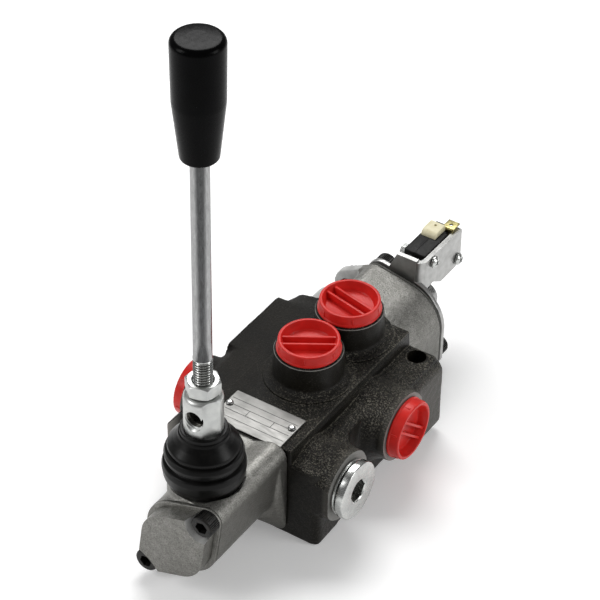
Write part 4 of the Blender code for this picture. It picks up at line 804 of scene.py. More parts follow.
def painted_glints(centre, normal):
    """Whether a face of the body is on an edge that gets painted glints."""
    ring = min(abs((centre.xy - Vector((0, y))).length - 19.3 * MM) for y in (A_Y, B_Y)) < 0.7 * MM
    edge = abs(centre.x - PLATFORM_HALF) < 0.8 * MM
    fold = abs(centre.x - LEFT_FOLD) < 0.3 * MM
    return normal.z > 0.1 and centre.z > SHELF_Z and (ring and centre.x < PLATFORM_HALF or edge or fold)


def machined(centre, normal):
    """Whether a face of the body is on a side port's face or an upper boss's chamfer."""
    chamfer = 0.03 * MM < BODY_HIGH.z - centre.z < 0.33 * MM and 0.3 < normal.z < 0.97
    return chamfer or min(abs(centre.x - face.x) for face in (BODY_LOW, BODY_HIGH)) < 0.02 * MM


def make_body():
    slope = [(WALL_LEFT + 8 * MM, LEFT_EDGE_Z), (WALL_LEFT - 4 * MM, SPOOL_Z - 2 * MM),
             (WALL_LEFT - 4 * MM, BODY_HIGH.z), (WALL_LEFT + 8 * MM, BODY_HIGH.z)]
    corner = slab("corner_slope", slope, "Y", -WALL_END - SPARE, -WALL_END + 12 * MM)
    body = casting("body_casting", body_solids(), 0.65 * MM, 4, [corner])
    roughen(body, (12 * MM, 0.10 * MM), (2.2 * MM, 0.08 * MM))
    droop(body)
    add(body, *crisp_edges())
    cut(body, *trimmers(), *body_holes())
    cut(body, *top_chamfers())
    paint(body, FINISHES["cast_iron"])
    # painted glints along the bosses' foot rings, the platform's edge and the left fold
    repaint(body, GLINT_EDGE, painted_glints)
    repaint(body, MACHINED, machined)
    seat(body, "cast_iron", "valve_body")


# ---- rating plate


def make_plate():
    """The blank rating plate, with generic ruled lines, and its two round-headed rivets."""
    lowest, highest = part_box("rating_plate")
    corners = ((lowest.x, lowest.y), (highest.x, lowest.y), (highest.x, highest.y), (lowest.x, highest.y))
    outline = rounded([(*corner, 0.6 * MM) for corner in corners])
    plate = slab("plate_sheet", outline, "Z", lowest.z, highest.z, 0.12 * MM)
    cut(plate, *rods("plate_hole", RIVET_HOLE_R, "Z", [middle(node).xy for node in RIVETS], lowest.z - SPARE,
                      highest.z + SPARE))
    seat(plate, "plate_aluminium", "rating_plate")
    for node in RIVETS:
        foot = low(node).z
        height = high(node).z - foot
        shoulder = highest.z + GAP - foot
        shank_r = 0.9 * MM
        head_r = radius_of(node, "Z")
        rivet = lathe(node + "_head", [
            (0, 0), (0, shank_r), (shoulder, shank_r), (shoulder, head_r, 0.1 * MM),
            (shoulder + 0.35 * MM, head_r, 0.3 * MM), (height, head_r * 0.55, 0.3 * MM), (height, 0),
        ], (*middle(node).xy, foot), sides=FEW_SIDES)
        seat(rivet, "bare_steel", node)
    make_rules(lowest, highest)


def make_rules(lowest, highest):
    """Thin enamel lines that divide the plate into blank rows."""
    thick = 0.28 * MM
    height = 0.03 * MM
    inset = 0.8 * MM
    rules = []
    for share in (0.20, 0.40, 0.58, 0.76):
        y = lowest.y + (highest.y - lowest.y) * share
        rules.append(((lowest.x + inset, y), (highest.x - inset, y + thick)))
    top, bottom = rules[2][0][1], rules[1][0][1]
    for share in (0.34, 0.70):
        x = lowest.x + (highest.x - lowest.x) * share
        rules.append(((x, bottom), (x + thick, top)))
    strips = [block("rule", (*start, highest.z - height), (*end, highest.z + height)) for start, end in rules]
    seat(object_from(joined(strips), "plate_rules"), "plate_aluminium", finish=PLATE_INK)


# ---- caps


def make_cap(node, face, outward, rib_turn):
    """A transport cap: a dished disc with a rolled rim, two ribs and a hollow plug inside the port."""
    insert_r = 9.0 * MM
    inner_r = 7.4 * MM
    base_r = 13.8 * MM
    rim_r = 13.1 * MM
    height = 5.5 * MM
    floor = 1.2 * MM
    cap = lathe(node.replace("port_cap", "cap"), [
        (-8 * MM, inner_r), (-8 * MM, insert_r, 0.4 * MM), (GAP, insert_r), (GAP, base_r, 0.25 * MM),
        (1.0 * MM, base_r, 0.3 * MM), (1.5 * MM, rim_r + 0.30 * MM, 0.3 * MM), (height, rim_r, 0.55 * MM),
        (height, rim_r - 1.35 * MM, 0.4 * MM), (floor, rim_r - 2.6 * MM, 0.6 * MM), (floor, 0),
        (-0.6 * MM, 0), (-0.6 * MM, inner_r, 0.3 * MM),
    ], (0, 0, 0))
    half_width = 0.6 * MM
    rib_foot = 0.6 * MM
    rib_top = height - 1.1 * MM
    reach = 11.4 * MM
    raised = []
    for across in (-2.3 * MM, 2.3 * MM):
        raised.append(slab("rib", [
            (across - half_width * 1.3, rib_foot), (across + half_width * 1.3, rib_foot),
            (across + half_width, rib_top), (across - half_width, rib_top),
        ], "X", -reach, reach, 0.3 * MM))
    nibs = 6
    for index in range(nibs):
        nib = block("nib", (rim_r - 0.6 * MM, -0.45 * MM, 1.2 * MM), (rim_r + 0.42 * MM, 0.45 * MM, 4.3 * MM),
                    0.2 * MM)
        nib.data.transform(Matrix.Rotation(2 * pi * index / nibs + 0.35, 4, "Z"))
        raised.append(nib)
    add(cap, *raised)
    turn = Z_AXIS.rotation_difference(outward).to_matrix().to_4x4() @ Matrix.Rotation(rib_turn, 4, "Z")
    cap.data.transform(Matrix.Translation(face) @ turn)
    seat(cap, "red_plastic", node)


def make_caps():
    make_cap("port_cap_a", (0, A_Y, BODY_HIGH.z), Z_AXIS, radians(33))
    make_cap("port_cap_b", (0, B_Y, BODY_HIGH.z), Z_AXIS, radians(-12))
    make_cap("port_cap_inlet", (BODY_HIGH.x, INLET_Y, SPOOL_Z), X_AXIS, radians(47))
    make_cap("port_cap_tank", (BODY_LOW.x, TANK_Y, SPOOL_Z), -X_AXIS, radians(60))


# ---- relief valve


def make_relief():
    """The plug with its groove, collar and hexagon socket, and the sealing ring under it."""
    lowest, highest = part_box("relief_plug")
    face = Vector((0, RELIEF_Y, SPOOL_Z))
    flange_x = high("relief_seal").x + GAP
    head_r = radius_of("relief_plug", "X")
    neck_r = head_r * 0.88
    thread_r = 9.0 * MM
    chamber_r = 4.6 * MM
    head_low = highest.x - 3.2 * MM
    dish_x = highest.x - 0.45 * MM
    pocket_end = BODY_HIGH.x - 2.0 * MM
    plug = lathe("plug_head", [
        (lowest.x, chamber_r), (lowest.x, thread_r), (flange_x, thread_r),
        (flange_x, neck_r, 0.2 * MM), (head_low - 0.7 * MM, neck_r, 0.3 * MM),
        (head_low, head_r, 0.25 * MM), (highest.x, head_r, 0.6 * MM), (highest.x, 5.6 * MM, 0.3 * MM),
        (dish_x, 5.1 * MM, 0.2 * MM), (dish_x, 0), (pocket_end, 0), (pocket_end, chamber_r),
    ], face, X_AXIS)
    cut(plug, slab("socket", hexagon(RELIEF_Y, SPOOL_Z, 9.4 * MM), "X", highest.x - 4.5 * MM,
                   highest.x + SPARE))
    paint(plug, FINISHES["zinc_plate"])
    # painted shade deep in the hexagon socket
    repaint(plug, SHADED_RECESS, lambda centre, normal: (
        (centre - face).yz.length < 5.3 * MM and highest.x - 4.6 * MM < centre.x < highest.x - 2.4 * MM))
    seat(plug, "zinc_plate", "relief_plug")
    lowest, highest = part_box("relief_seal")
    ring_r = radius_of("relief_seal", "X")
    ring = lathe("sealing_ring", [
        (lowest.x, THREAD_BORE_R), (lowest.x, ring_r, 0.3 * MM), (highest.x, ring_r, 0.3 * MM),
        (highest.x, THREAD_BORE_R),
    ], face, X_AXIS)
    seat(ring, "zinc_plate", "relief_seal")


# ---- lever housing and its cover

HOUSING_R = 17 * MM
HOUSING_LUG_R = 6 * MM
SPOOL_ROOM_R = 8.6 * MM
PIN_HOLE_R = 2.8 * MM


def front_outline(inset=0.0):
    circles = [(x, z, HOUSING_LUG_R - inset) for x, z in screw_places(True)]
    return hull_outline([(0, SPOOL_Z, HOUSING_R - inset)] + circles)


def make_housing():
    lowest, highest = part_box("lever_housing")
    seat_z = low("boot").z - GAP
    seat_r = 15.2 * MM
    half = highest.x
    top = PLATFORM_Z - 0.7 * MM
    foot = lowest.z - OVER
    corner_r = 6 * MM
    rear_outline = rounded([(-half, foot, 3 * MM), (half, foot, 3 * MM), (half, top, corner_r),
                            (-half, top, corner_r)])
    upper = [(x, top - corner_r, corner_r) for x in (corner_r - half, half - corner_r)]
    lower = [(x, SPOOL_Z - 6 * MM, 14 * MM) for x in (-3.5 * MM, 3.5 * MM)]
    neck_outline = hull_outline([*upper, (0, SPOOL_Z, HOUSING_R + 1.2 * MM), *lower])
    solids = [
        loft("flange", rear_outline, highest.y + OVER, neck_outline, highest.y - 5.2 * MM),
        slab("tube", front_outline(), "Y", highest.y, lowest.y - OVER),
        *rods("pedestal", seat_r, "Z", [(0, LEVER_Y)], SPOOL_Z, seat_z + OVER, SIDES),
    ]
    housing = casting("housing_casting", solids, 0.6 * MM, 6)
    roughen(housing, (6 * MM, 0.10 * MM), (1.6 * MM, 0.05 * MM))
    far = 30 * MM
    rear = highest.y + SPARE
    front = lowest.y - SPARE
    slot_half = 5.7 * MM
    slot_front, slot_rear = LEVER_Y - 10.5 * MM, LEVER_Y + 10.5 * MM
    cut(housing,
        block("trim_rear", (-far, highest.y, -far), (far, highest.y + far, far * 3)),
        block("trim_front", (-far, lowest.y - far, -far), (far, lowest.y, far * 3)),
        *rods("seat_clearance", seat_r + 1.6 * MM, "Z", [(0, LEVER_Y)], seat_z, seat_z + far, SIDES),
        *rods("bore", SPOOL_ROOM_R, "Y", [(0, SPOOL_Z)], rear, front),
        block("slot", (-slot_half, slot_front, SPOOL_Z), (slot_half, slot_rear, seat_z + far)),
        *rods("screw_hole", SCREW_HOLE_R, "Y", screw_places(True), rear, front))
    ear_r = 4.2 * MM
    outline = hull_outline([(LEVER_Y, PIVOT_Z, ear_r), (LEVER_Y, seat_z - ear_r, ear_r * 1.2)], FEW_SIDES)
    add(housing, *[slab("ear", outline, "X", side * 6.0 * MM, side * 9.5 * MM) for side in (-1, 1)])
    cut(housing, *rods("pin_hole", PIN_HOLE_R, "X", [(LEVER_Y, PIVOT_Z)], -seat_r, seat_r))
    seat(housing, "cast_aluminium", "lever_housing")


def make_cover():
    """The end cover: a flat lip and a raised face scalloped round the screws' heads."""
    lowest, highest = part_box("end_cover")
    back = highest.y
    lip_y = back - 1.1 * MM
    face_y = lowest.y
    cover = slab("cover_casting", front_outline(0.05 * MM), "Y", back, lip_y, 0.25 * MM)
    raised = slab("raised", front_outline(2.2 * MM), "Y", back - 0.3 * MM, face_y)
    reach = Vector((SCREW_X, 0, SCREW_UP)).normalized()
    upper = Vector((0, 0, SPOOL_Z)) + reach * 22.3 * MM
    lower = Vector((0, 0, SPOOL_Z)) - reach * 37.7 * MM
    deep = lip_y - face_y
    mouth_r = 7.4 * MM
    cut(raised,
        lathe("scallop", [(0, 0), (0, 5.6 * MM), (deep, mouth_r), (deep + SPARE, mouth_r), (deep + SPARE, 0)],
              (upper.x, lip_y, upper.z), -Y_AXIS),
        *rods("scallop", 20 * MM, "Y", [lower.xz], lip_y, face_y - SPARE, SIDES))
    bevelled(raised, 1.0 * MM, 6)
    add(cover, raised)
    cut(cover,
        *rods("hollow", SPOOL_ROOM_R, "Y", [(0, SPOOL_Z)], back + SPARE, face_y + 3 * MM),
        *rods("screw_hole", SCREW_HOLE_R, "Y", screw_places(True), back + SPARE, face_y - SPARE))
    paint(cover, FINISHES["cast_aluminium"])
    # painted highlight on the scallop's bevel round the upper screw
    repaint(cover, HIGHLIT_CASTING, lambda centre, normal: (
        (centre.xz - upper.xz).length < 8.5 * MM and face_y + 0.02 * MM < centre.y < lip_y - 1 * MM))
    seat(cover, "cast_aluminium", "end_cover")


# ---- cap screws

SCREWS = {      # by how many millimetres a head moves in x, z and outwards, and grows in height and radius
    "front_screw_upper": (0.8, 0.9, 0.3, 0.6, 0),
    "front_screw_lower": (-1.3, -1.7, -0.5, 0, 0.1),
    "rear_screw_upper": (-0.5, 1.2, 1.3, 1.3, 0),
    "rear_screw_lower": (0.6, 0, 1.3, 1.3, 0),
    "ear_screw": (0, 0, 0, 0, 0),
}


def cap_screw(node, right, up, out, taller, wider):
    """A socket-head cap screw along Y, with a knurled head."""
    lowest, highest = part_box(node)
    in_front = node.startswith("front")
    face, tip = (lowest.y, highest.y) if in_front else (highest.y, lowest.y)
    outward = -1 if in_front else 1
    place = middle(node) + Vector((right * MM, 0, up * MM))
    face += outward * out * MM
    head_r = radius_of(node, "Y") + wider * MM
    head = 5.2 * MM + taller * MM
    teeth = 36
    knurl = []
    for step in range(teeth * 2):
        angle = pi * step / teeth
        radius = head_r if step % 2 else head_r - 0.22 * MM
        knurl.append((place.x + radius * cos(angle), place.z + radius * sin(angle)))
    screw = slab(node + "_head", knurl, "Y", face, face - outward * head)
    crown_r = head_r + 0.1 * MM
    combine(screw, [lathe("crown", [
        (0, 0), (0, head_r - 0.7 * MM, 0.3 * MM), (0.6 * MM, crown_r, 0.2 * MM), (head, crown_r), (head, 0),
    ], (place.x, face, place.z), Y_AXIS * -outward, FEW_SIDES)], "INTERSECT")
    add(screw, *rods("shank", 3.0 * MM, "Y", [place.xz], face - outward * (head - 0.2 * MM), tip))
    socket = hexagon(place.x, place.z, 5.0 * MM, radians(11))
    cut(screw, slab("socket", socket, "Y", face - outward * 3.0 * MM, face + outward * SPARE))
    if node == "ear_screw":
        seat(screw, "zinc_plate", node, finish=FINISHES["bare_steel"])
    else:
        seat(screw, "black_steel", node)


# ---- boot


def make_boot():
    """The bellows, from the housing's seat to a collar round the lever's holder."""
    foot, top = low("boot").z, high("boot").z
    under = top - 2.0 * MM
    collar_hole_r = radius_of("lever_holder", "Z") + GAP
    wall = 1.5 * MM
    neck_r = 4.5 * MM + wall
    folds = [       # heights over the foot, radii and fillets, in millimetres
        (3.6, 16.6, 4.0), (8.1, 17.2, 2.0), (10.5, 16.7, 0.8), (11.3, 14.4, 0.5), (12.7, 16.0, 0.5),
        (14.6, 16.3, 1.2), (16.5, 15.6, 0.7), (17.0, 13.5, 0.4), (17.9, 14.9, 0.4), (19.1, 14.7, 1.5),
        (22.0, 12.2, 2.5), (24.1, 10.7, 1.0),
    ]
    outer = [(foot + rise * MM, radius * MM, fillet * MM) for rise, radius, fillet in folds]
    inner = [(along - 0.2 * MM, radius - wall, fillet) for along, radius, fillet in reversed(outer[:11])]
    collar_r = 9.8 * MM
    boot = lathe("bellows", [
        (foot, 15.1 * MM, 0.4 * MM), *outer, (under, 10.3 * MM, 0.3 * MM),
        (under + 0.2 * MM, collar_r, 0.3 * MM), (top, collar_r, 0.5 * MM), (top, collar_hole_r),
        (under, collar_hole_r), (under, neck_r), (under - wall / 2, neck_r), *inner, (foot, 13.7 * MM),
    ], LEVER_FOOT, steps=6)
    paint(boot, FINISHES["rubber"])
    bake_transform(boot)
    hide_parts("boot")


# ---- lever

TAPPED_R = 4.3 * MM


def cross_thread(start, depth):
    """The profile of the holder's tapped cross hole, from outside its round to its end."""
    pitch = 1.0 * MM
    minor_r = 3.9 * MM
    first = start + SPARE + 0.9 * MM
    profile = [(start, 0), (start, 6.0 * MM), (first, 4.5 * MM)]
    for turn in range(int((depth - 1.2 * MM) / pitch)):
        along = first + turn * pitch
        profile += [(along, minor_r), (along + pitch / 2, 4.55 * MM)]
    end = start + SPARE + depth
    return profile + [(end, minor_r), (end, 0)]


def make_holder():
    """The zinc holder, with its flat, its tapped cross hole and the ball that moves the spool."""
    lowest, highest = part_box("lever_holder")
    body_low = high("boot").z - 2.0 * MM + GAP
    holder_r = radius_of("lever_holder", "Z")
    ball_r = SPOOL_Z - lowest.z
    stem_r = 3.0 * MM
    boss_r = 4.6 * MM
    neck_r = 4.5 * MM
    bore_end = low("lever_rod").z - GAP
    ball = [(SPOOL_Z - ball_r * cos(step * pi / 12), ball_r * sin(step * pi / 12)) for step in range(9)]
    holder = lathe("holder", ball + [
        (SPOOL_Z + ball_r, stem_r, 0.5 * MM), (PIVOT_Z - boss_r, stem_r), (PIVOT_Z - 2 * MM, neck_r, 1 * MM),
        (body_low, neck_r), (body_low, holder_r, 0.5 * MM), (highest.z, holder_r, 2.2 * MM),
        (highest.z, TAPPED_R + 0.3 * MM, 0.1 * MM),
        (highest.z - 0.4 * MM, TAPPED_R), (bore_end, TAPPED_R), (bore_end, 0),
    ], LEVER_FOOT)
    half = 5.4 * MM
    pivot = [(LEVER_Y, PIVOT_Z)]
    add(holder, *rods("pivot_boss", boss_r, "X", pivot, -half, half))
    flat_low = body_low + 0.5 * MM
    flat = block("flat", (7.0 * MM, -holder_r, flat_low), (holder_r * 2, holder_r, highest.z + SPARE))
    flat.data.transform(Matrix.Translation(LEVER_FOOT) @ Matrix.Rotation(radians(-31), 4, "Z"))
    hole = Vector((0, LEVER_Y, highest.z - 9.5 * MM))
    hole_turn = radians(2)
    inward = Vector((-sin(hole_turn), cos(hole_turn), 0))
    cross = lathe("cross_hole", cross_thread(-holder_r - SPARE, 6.0 * MM), hole, inward, FEW_SIDES)
    cut(holder, flat, cross, *rods("pin_hole", PIN_HOLE_R, "X", pivot, -holder_r, holder_r))
    paint(holder, SATIN_ZINC)

    def inside(centre, normal):
        place = centre - hole
        away = (place - inward * place.dot(inward)).length
        return place.dot(inward) < 0 and away < 4.6 * MM and place.length < holder_r - 0.9 * MM

    # painted shade inside the tapped cross hole
    repaint(holder, SHADED_RECESS, inside)
    seat(holder, "zinc_plate", "lever_holder", body="lever")


def hex_nut(name, letter, place, across, start, end, face_r, drop, turn=0.0, sides=SIDES):
    """A hexagon along an axis, whose corners are turned off at both ends."""
    nut = slab(name, hexagon(*place, across, turn), letter, start, end)
    thick = end - start
    corner_r = across / 2 / cos(pi / 6) + 0.01 * MM
    axis = {"X": X_AXIS, "Z": Z_AXIS}[letter]
    profile = [(0, 0), (0, face_r), (drop, corner_r), (thick - drop, corner_r), (thick, face_r), (thick, 0)]
    turned = lathe("turned_off", profile, point(letter, start, *place), axis, sides)
    return combine(nut, [turned], "INTERSECT")


def make_nut():
    """The lock nut, its corners turned off top and bottom and its foot relieved."""
    lowest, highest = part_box("lock_nut")
    lowest.z += 0.7 * MM
    across = min(highest.y - lowest.y, 13.0 * MM)
    height = highest.z - lowest.z
    face_r = across / 2 - 0.2 * MM
    slope = 0.60
    drop = (across / 2 / cos(pi / 6) - face_r) * slope
    nut = hex_nut("nut", "Z", (0, LEVER_Y), across, lowest.z, highest.z, face_r, drop, radians(19))
    mouth_r = TAPPED_R + 1.4 * MM
    chamfer = 0.4 * MM
    cut(nut, lathe("nut_bore", [
        (-SPARE, 0), (-SPARE, mouth_r), (chamfer, TAPPED_R), (height - chamfer, TAPPED_R),
        (height + SPARE, mouth_r), (height + SPARE, 0),
    ], (0, LEVER_Y, lowest.z)))
    bevelled(nut, 0.15 * MM, 2, 25)
    seat(nut, "zinc_plate", "lock_nut", body="lever", finish=SATIN_ZINC)


def make_rod():
    """The lever's rod: a helical thread at its foot, plain and bright above."""
    lowest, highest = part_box("lever_rod")
    thread_r = radius_of("lever_rod", "Z")
    rod_r = 3.8 * MM
    thread_top = high("lock_nut").z + 11.2 * MM
    pitch = 1.25 * MM
    depth = 0.75 * MM
    run_out = 1.2 * MM
    step = pitch / 12
    sides = 48
    bm = bmesh.new()

    def ring(z, radius_at):
        made = []
        for angle in (2 * pi * side / sides for side in range(sides)):
            radius = radius_at(angle)
            made.append(bm.verts.new((radius * cos(angle), LEVER_Y + radius * sin(angle), z)))
        return made

    def threaded(z):
        share = held((thread_top - z) / run_out)

        def radius_at(angle):
            phase = (z / pitch - angle / (2 * pi)) % 1
            crest = held(abs(phase - 0.5) * 2.6 - 0.25)
            return thread_r - (1 - crest) * depth * share
        return ring(z, radius_at)

    start = thread_top + 0.5 * MM
    plain_length = highest.z - 0.4 * MM - start
    rings = [threaded(lowest.z + step * index) for index in range(round((thread_top - lowest.z) / step) + 1)]
    rings += [ring(start + plain_length * part / 12, lambda angle: rod_r) for part in range(13)]
    rings.append(ring(highest.z, lambda angle: rod_r - 0.4 * MM))
    stitch(bm, rings)
    piece = object_from(bm, "rod_and_thread")
    # the plain rod's near-black finish is a painted dark reflection
    paint(piece, ROD_STEEL)
    root_r = thread_r - 0.55 * depth
    repaint(piece, FINISHES["zinc_plate"], lambda centre, normal: centre.z < thread_top)
    # painted shade in the roots of the thread
    repaint(piece, SHADED_RECESS, lambda centre, normal: (
        centre.z < thread_top - run_out and (centre.xy - Vector((0, LEVER_Y))).length < root_r))
    seat(piece, "zinc_plate", "lever_rod", body="lever")


def make_knob():
    """The grip: a taper that straightens towards a rounded crown, hollow below for the rod."""
    lowest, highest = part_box("lever_knob")
    foot = lowest.z + 2.2 * MM
    inner_r = 4.0 * MM
    bore_top = high("lever_rod").z + GAP
    knob = lathe("grip", [
        (foot, inner_r), (foot, 7.5 * MM, 1.4 * MM),
        (lowest.z + (highest.z - lowest.z) / 2, 10.16 * MM, 22 * MM),
        (highest.z - 0.2 * MM, radius_of("lever_knob", "Z"), 2.6 * MM), (highest.z, 4 * MM, 2 * MM),
        (highest.z, 0), (bore_top, 0), (bore_top, inner_r),
    ], LEVER_FOOT, steps=8)
    seat(knob, "black_plastic", "lever_knob", body="lever")


# ---- rear casting

DRUM_R = 20 * MM
DRUM_LUG_R = 6.6 * MM
DRUM_CAVITY_R = 13.5 * MM
SLEEVE_R = radius_of("switch_actuator", "Y")
SLEEVE_HOLE_R = SLEEVE_R + 1.8 * MM


def drum_outline(extra=(), inset=0.0):
    circles = [(x, z, DRUM_LUG_R - inset) for x, z in screw_places(False)]
    return hull_outline([(0, SPOOL_Z, DRUM_R - inset)] + circles + list(extra))


def make_drum():
    """The spring housing, with its ear's flange and rim."""
    lowest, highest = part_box("spring_housing")
    ear_x, ear_z = middle("ear_screw").xz
    ear = [(ear_x + 1.4 * MM, ear_z, DRUM_LUG_R + 1.4 * MM), (ear_x + 3 * MM, ear_z - 5 * MM, DRUM_LUG_R)]
    solids = [
        slab("drum", drum_outline(), "Y", lowest.y - OVER, highest.y + OVER),
        slab("ear_flange", drum_outline(ear), "Y", lowest.y - OVER, lowest.y + 10.2 * MM),
        slab("ear_rim", drum_outline(ear), "Y", highest.y - 4.0 * MM, highest.y + OVER),
    ]
    drum = casting("drum_casting", solids, 0.6 * MM, 7)
    roughen(drum, (6 * MM, 0.10 * MM), (1.6 * MM, 0.05 * MM))
    far = 40 * MM
    wall = highest.y - 2.6 * MM
    front, rear = lowest.y - SPARE, highest.y + SPARE
    cut(drum,
        block("trim_front", (-far, lowest.y - far, -far), (far, lowest.y, far * 2)),
        block("trim_rear", (-far, highest.y, -far), (far, highest.y + far, far * 2)),
        *rods("cavity", DRUM_CAVITY_R, "Y", [(0, SPOOL_Z)], front, wall, SIDES),
        *rods("sleeve_hole", SLEEVE_HOLE_R, "Y", [(0, SPOOL_Z)], wall - SPARE, rear),
        *rods("screw_hole", SCREW_HOLE_R, "Y", screw_places(False) + [(ear_x, ear_z)], front, rear))
    paint(drum, FINISHES["cast_aluminium"])
    # painted highlight on the drum's ear, at its left
    repaint(drum, HIGHLIT_CASTING, lambda centre, normal: centre.x < -20.4 * MM)
    seat(drum, "cast_aluminium", "spring_housing")


def rear_holes(radius, front, rear):
    """The middle hole and the two screws' holes through a sheet at the rear."""
    ends = (front - SPARE, rear + SPARE)
    return [*rods("hole", radius, "Y", [(0, SPOOL_Z)], *ends, SIDES),
            *rods("hole", SCREW_HOLE_R, "Y", screw_places(False), *ends)]


def make_gasket():
    lowest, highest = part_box("drum_gasket")
    gasket = slab("gasket_sheet", drum_outline(inset=0.15 * MM), "Y", lowest.y, highest.y, 0.15 * MM)
    cut(gasket, *rear_holes(DRUM_CAVITY_R, lowest.y, highest.y))
    seat(gasket, "rubber", "drum_gasket", finish=GASKET_BOARD)


# ---- bracket and switch

SWITCH_SCREWS = ("switch_screw_front", "switch_screw_rear")


def bracket_plan(side_x, inner_x, front, back):
    """The fold seen from above: the tongue's end, the rounded bend and the start of the side."""
    bend_r = 4.2 * MM
    inner_r = bend_r - (back - front) + 0.6 * MM
    corner_x = side_x - bend_r
    turns = [-pi / 2 + pi / 24 * step for step in range(13)]
    corner = [(corner_x + bend_r * cos(turn), front + bend_r + bend_r * sin(turn)) for turn in turns]
    turns = [pi / 12 * step for step in range(7)]
    inside = [(inner_x - inner_r * (1 - cos(turn)), back + inner_r * (1 - sin(turn))) for turn in turns]
    side = [(side_x, back + 3 * MM), (inner_x, back + 3 * MM)]
    return corner + side + inside + [(-8 * MM, back), (-8 * MM, front)], corner_x


def make_bracket():
    """The bent sheet: base plate, tongue, rounded bend and the side that carries the switch."""
    lowest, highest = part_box("switch_bracket")
    sheet = 2.2 * MM
    front, top = lowest.y, highest.z
    back = front + sheet
    side_x = high("switch_screw_front").x - 2.1 * MM
    inner_x = side_x - sheet
    bottom = SPOOL_Z + 12.6 * MM
    base = slab("bracket_sheet", drum_outline(), "Y", front, back, 0.3 * MM)
    plan, corner_x = bracket_plan(side_x, inner_x, front, back)
    side_low, side_top = low("switch_body").z - 2.2 * MM, high("switch_body").z + 1.8 * MM
    side_end = high("switch_body").y - 0.1 * MM
    fold = slab("fold", plan, "Z", low("switch_body").z + 1.0 * MM, side_top)
    left_low, left_top = -13.2 * MM, -5.9 * MM
    right = corner_x + 1 * MM
    outline = [(left_low, bottom), (right, bottom), (right, top), (left_top, top)]
    tongue = slab("tongue", outline, "Y", front, back)
    outside, over = left_low - 10 * MM, top + 5 * MM
    cut(fold, slab("trim", [(outside, bottom), (left_low, bottom), (left_top, top), (left_top, over),
                            (outside, over)], "Y", front - SPARE, back + SPARE))
    root_y = back + 1.5 * MM
    side = slab("side", rounded([       # the plate seen from the right, as (y, z, corner radius)
        (root_y, side_low + 3.5 * MM, 0.3 * MM), (back + 10 * MM, side_low + 4.5 * MM, 1.5 * MM),
        (back + 17 * MM, side_low, 1.5 * MM), (side_end - 4 * MM, side_low, 1.5 * MM),
        (side_end, side_low + 4 * MM, 1.5 * MM), (side_end, side_top, 0.8 * MM), (root_y, side_top, 0),
    ]), "X", inner_x, side_x)
    add(base, fold, tongue, side)
    screws = [middle(node).yz for node in SWITCH_SCREWS]
    cut(base, *rear_holes(SLEEVE_HOLE_R, front, back),
        *rods("hole", SMALL_HOLE_R, "X", screws, 0, side_x + SPARE))
    lean, fall, fade = 2.2 * MM, 0.8 * MM, 10 * MM
    for vertex in base.data.vertices:
        rise = held((vertex.co.z - bottom) / (top - bottom))
        near = held((back + fade - vertex.co.y) / fade)
        vertex.co.z -= fall * rise * (1 - near)
        vertex.co.y += lean * rise * near
    seat(base, "zinc_plate", "switch_bracket", finish=SHEET_METAL)


def make_switch():
    """The snap-action switch: a moulded case in two halves, with its screws and nuts."""
    lowest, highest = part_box("switch_body")
    highest.z += 1.7 * MM
    lowest.x -= 1.0 * MM
    case = block("switch_case", lowest, highest, 0.45 * MM)
    seam_x = (lowest.x + highest.x) / 2
    seam = 0.12 * MM
    depth = 0.18 * MM
    outer = block("seam_outer", (seam_x - seam, lowest.y - SPARE, lowest.z - SPARE),
                  (seam_x + seam, highest.y + SPARE, highest.z + SPARE))
    inner = block("seam_inner", (seam_x - seam * 2, lowest.y + depth, lowest.z + depth),
                  (seam_x + seam * 2, highest.y - depth, highest.z - depth))
    well_r = radius_of("switch_plunger", "Z") + GAP
    well_top = high("switch_plunger").z + 2.1 * MM
    cut(case, cut(outer, inner),
        *rods("well", well_r, "Z", [middle("switch_plunger").xy], lowest.z - SPARE, well_top),
        *rods("hole", SMALL_HOLE_R, "X", [middle(node).yz for node in SWITCH_SCREWS], lowest.x - SPARE,
               highest.x + SPARE),
        block("rear_step", (lowest.x - SPARE, highest.y - 8.4 * MM, highest.z - 2.4 * MM),
              (highest.x + SPARE, highest.y + SPARE, highest.z + SPARE)))
    seat(case, "black_plastic", "switch_body", finish=SWITCH_CASE)
    for node in SWITCH_SCREWS:
        make_pan_screw(node)
        make_small_nut(node.replace("screw", "nut"))


def make_pan_screw(node):
    """A small pan-head screw with a cross recess."""
    tip, top = low(node).x - 0.9 * MM, high(node).x
    place = middle(node).yz
    head_r = radius_of(node, "X")
    shank_r = 1.5 * MM
    head_low = top - 1.8 * MM
    screw = lathe(node + "_pan", [
        (tip, 0), (tip, shank_r, 0.3 * MM), (head_low, shank_r), (head_low, head_r, 0.2 * MM),
        (head_low + 0.9 * MM, head_r, 0.6 * MM), (top, head_r * 0.6, 0.6 * MM), (top, 0),
    ], (0, *place), X_AXIS, FEW_SIDES)
    arm = 1.6 * MM
    thin = 0.32 * MM
    recess = []
    for turn in (0.35, 0.35 + pi / 2):
        bar = block("bar", (top - 1.1 * MM, -arm, -thin), (top + SPARE, arm, thin))
        bar.data.transform(Matrix.Translation((0, *place)) @ Matrix.Rotation(turn, 4, "X"))
        recess.append(bar)
    cut(screw, *recess)
    seat(screw, "zinc_plate", node)


def make_small_nut(node):
    lowest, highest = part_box(node)
    lowest.x -= 1.0 * MM
    highest.x -= 1.0 * MM
    place = middle(node).yz
    across = highest.z - lowest.z
    nut = hex_nut(node + "_hex", "X", place, across, lowest.x, highest.x, across / 2 / cos(pi / 6) * 0.9,
                  0.3 * MM, sides=FEW_SIDES)
    cut(nut, *rods("bore", SMALL_HOLE_R, "X", [place], lowest.x - SPARE, highest.x + SPARE))
    seat(nut, "zinc_plate", node)


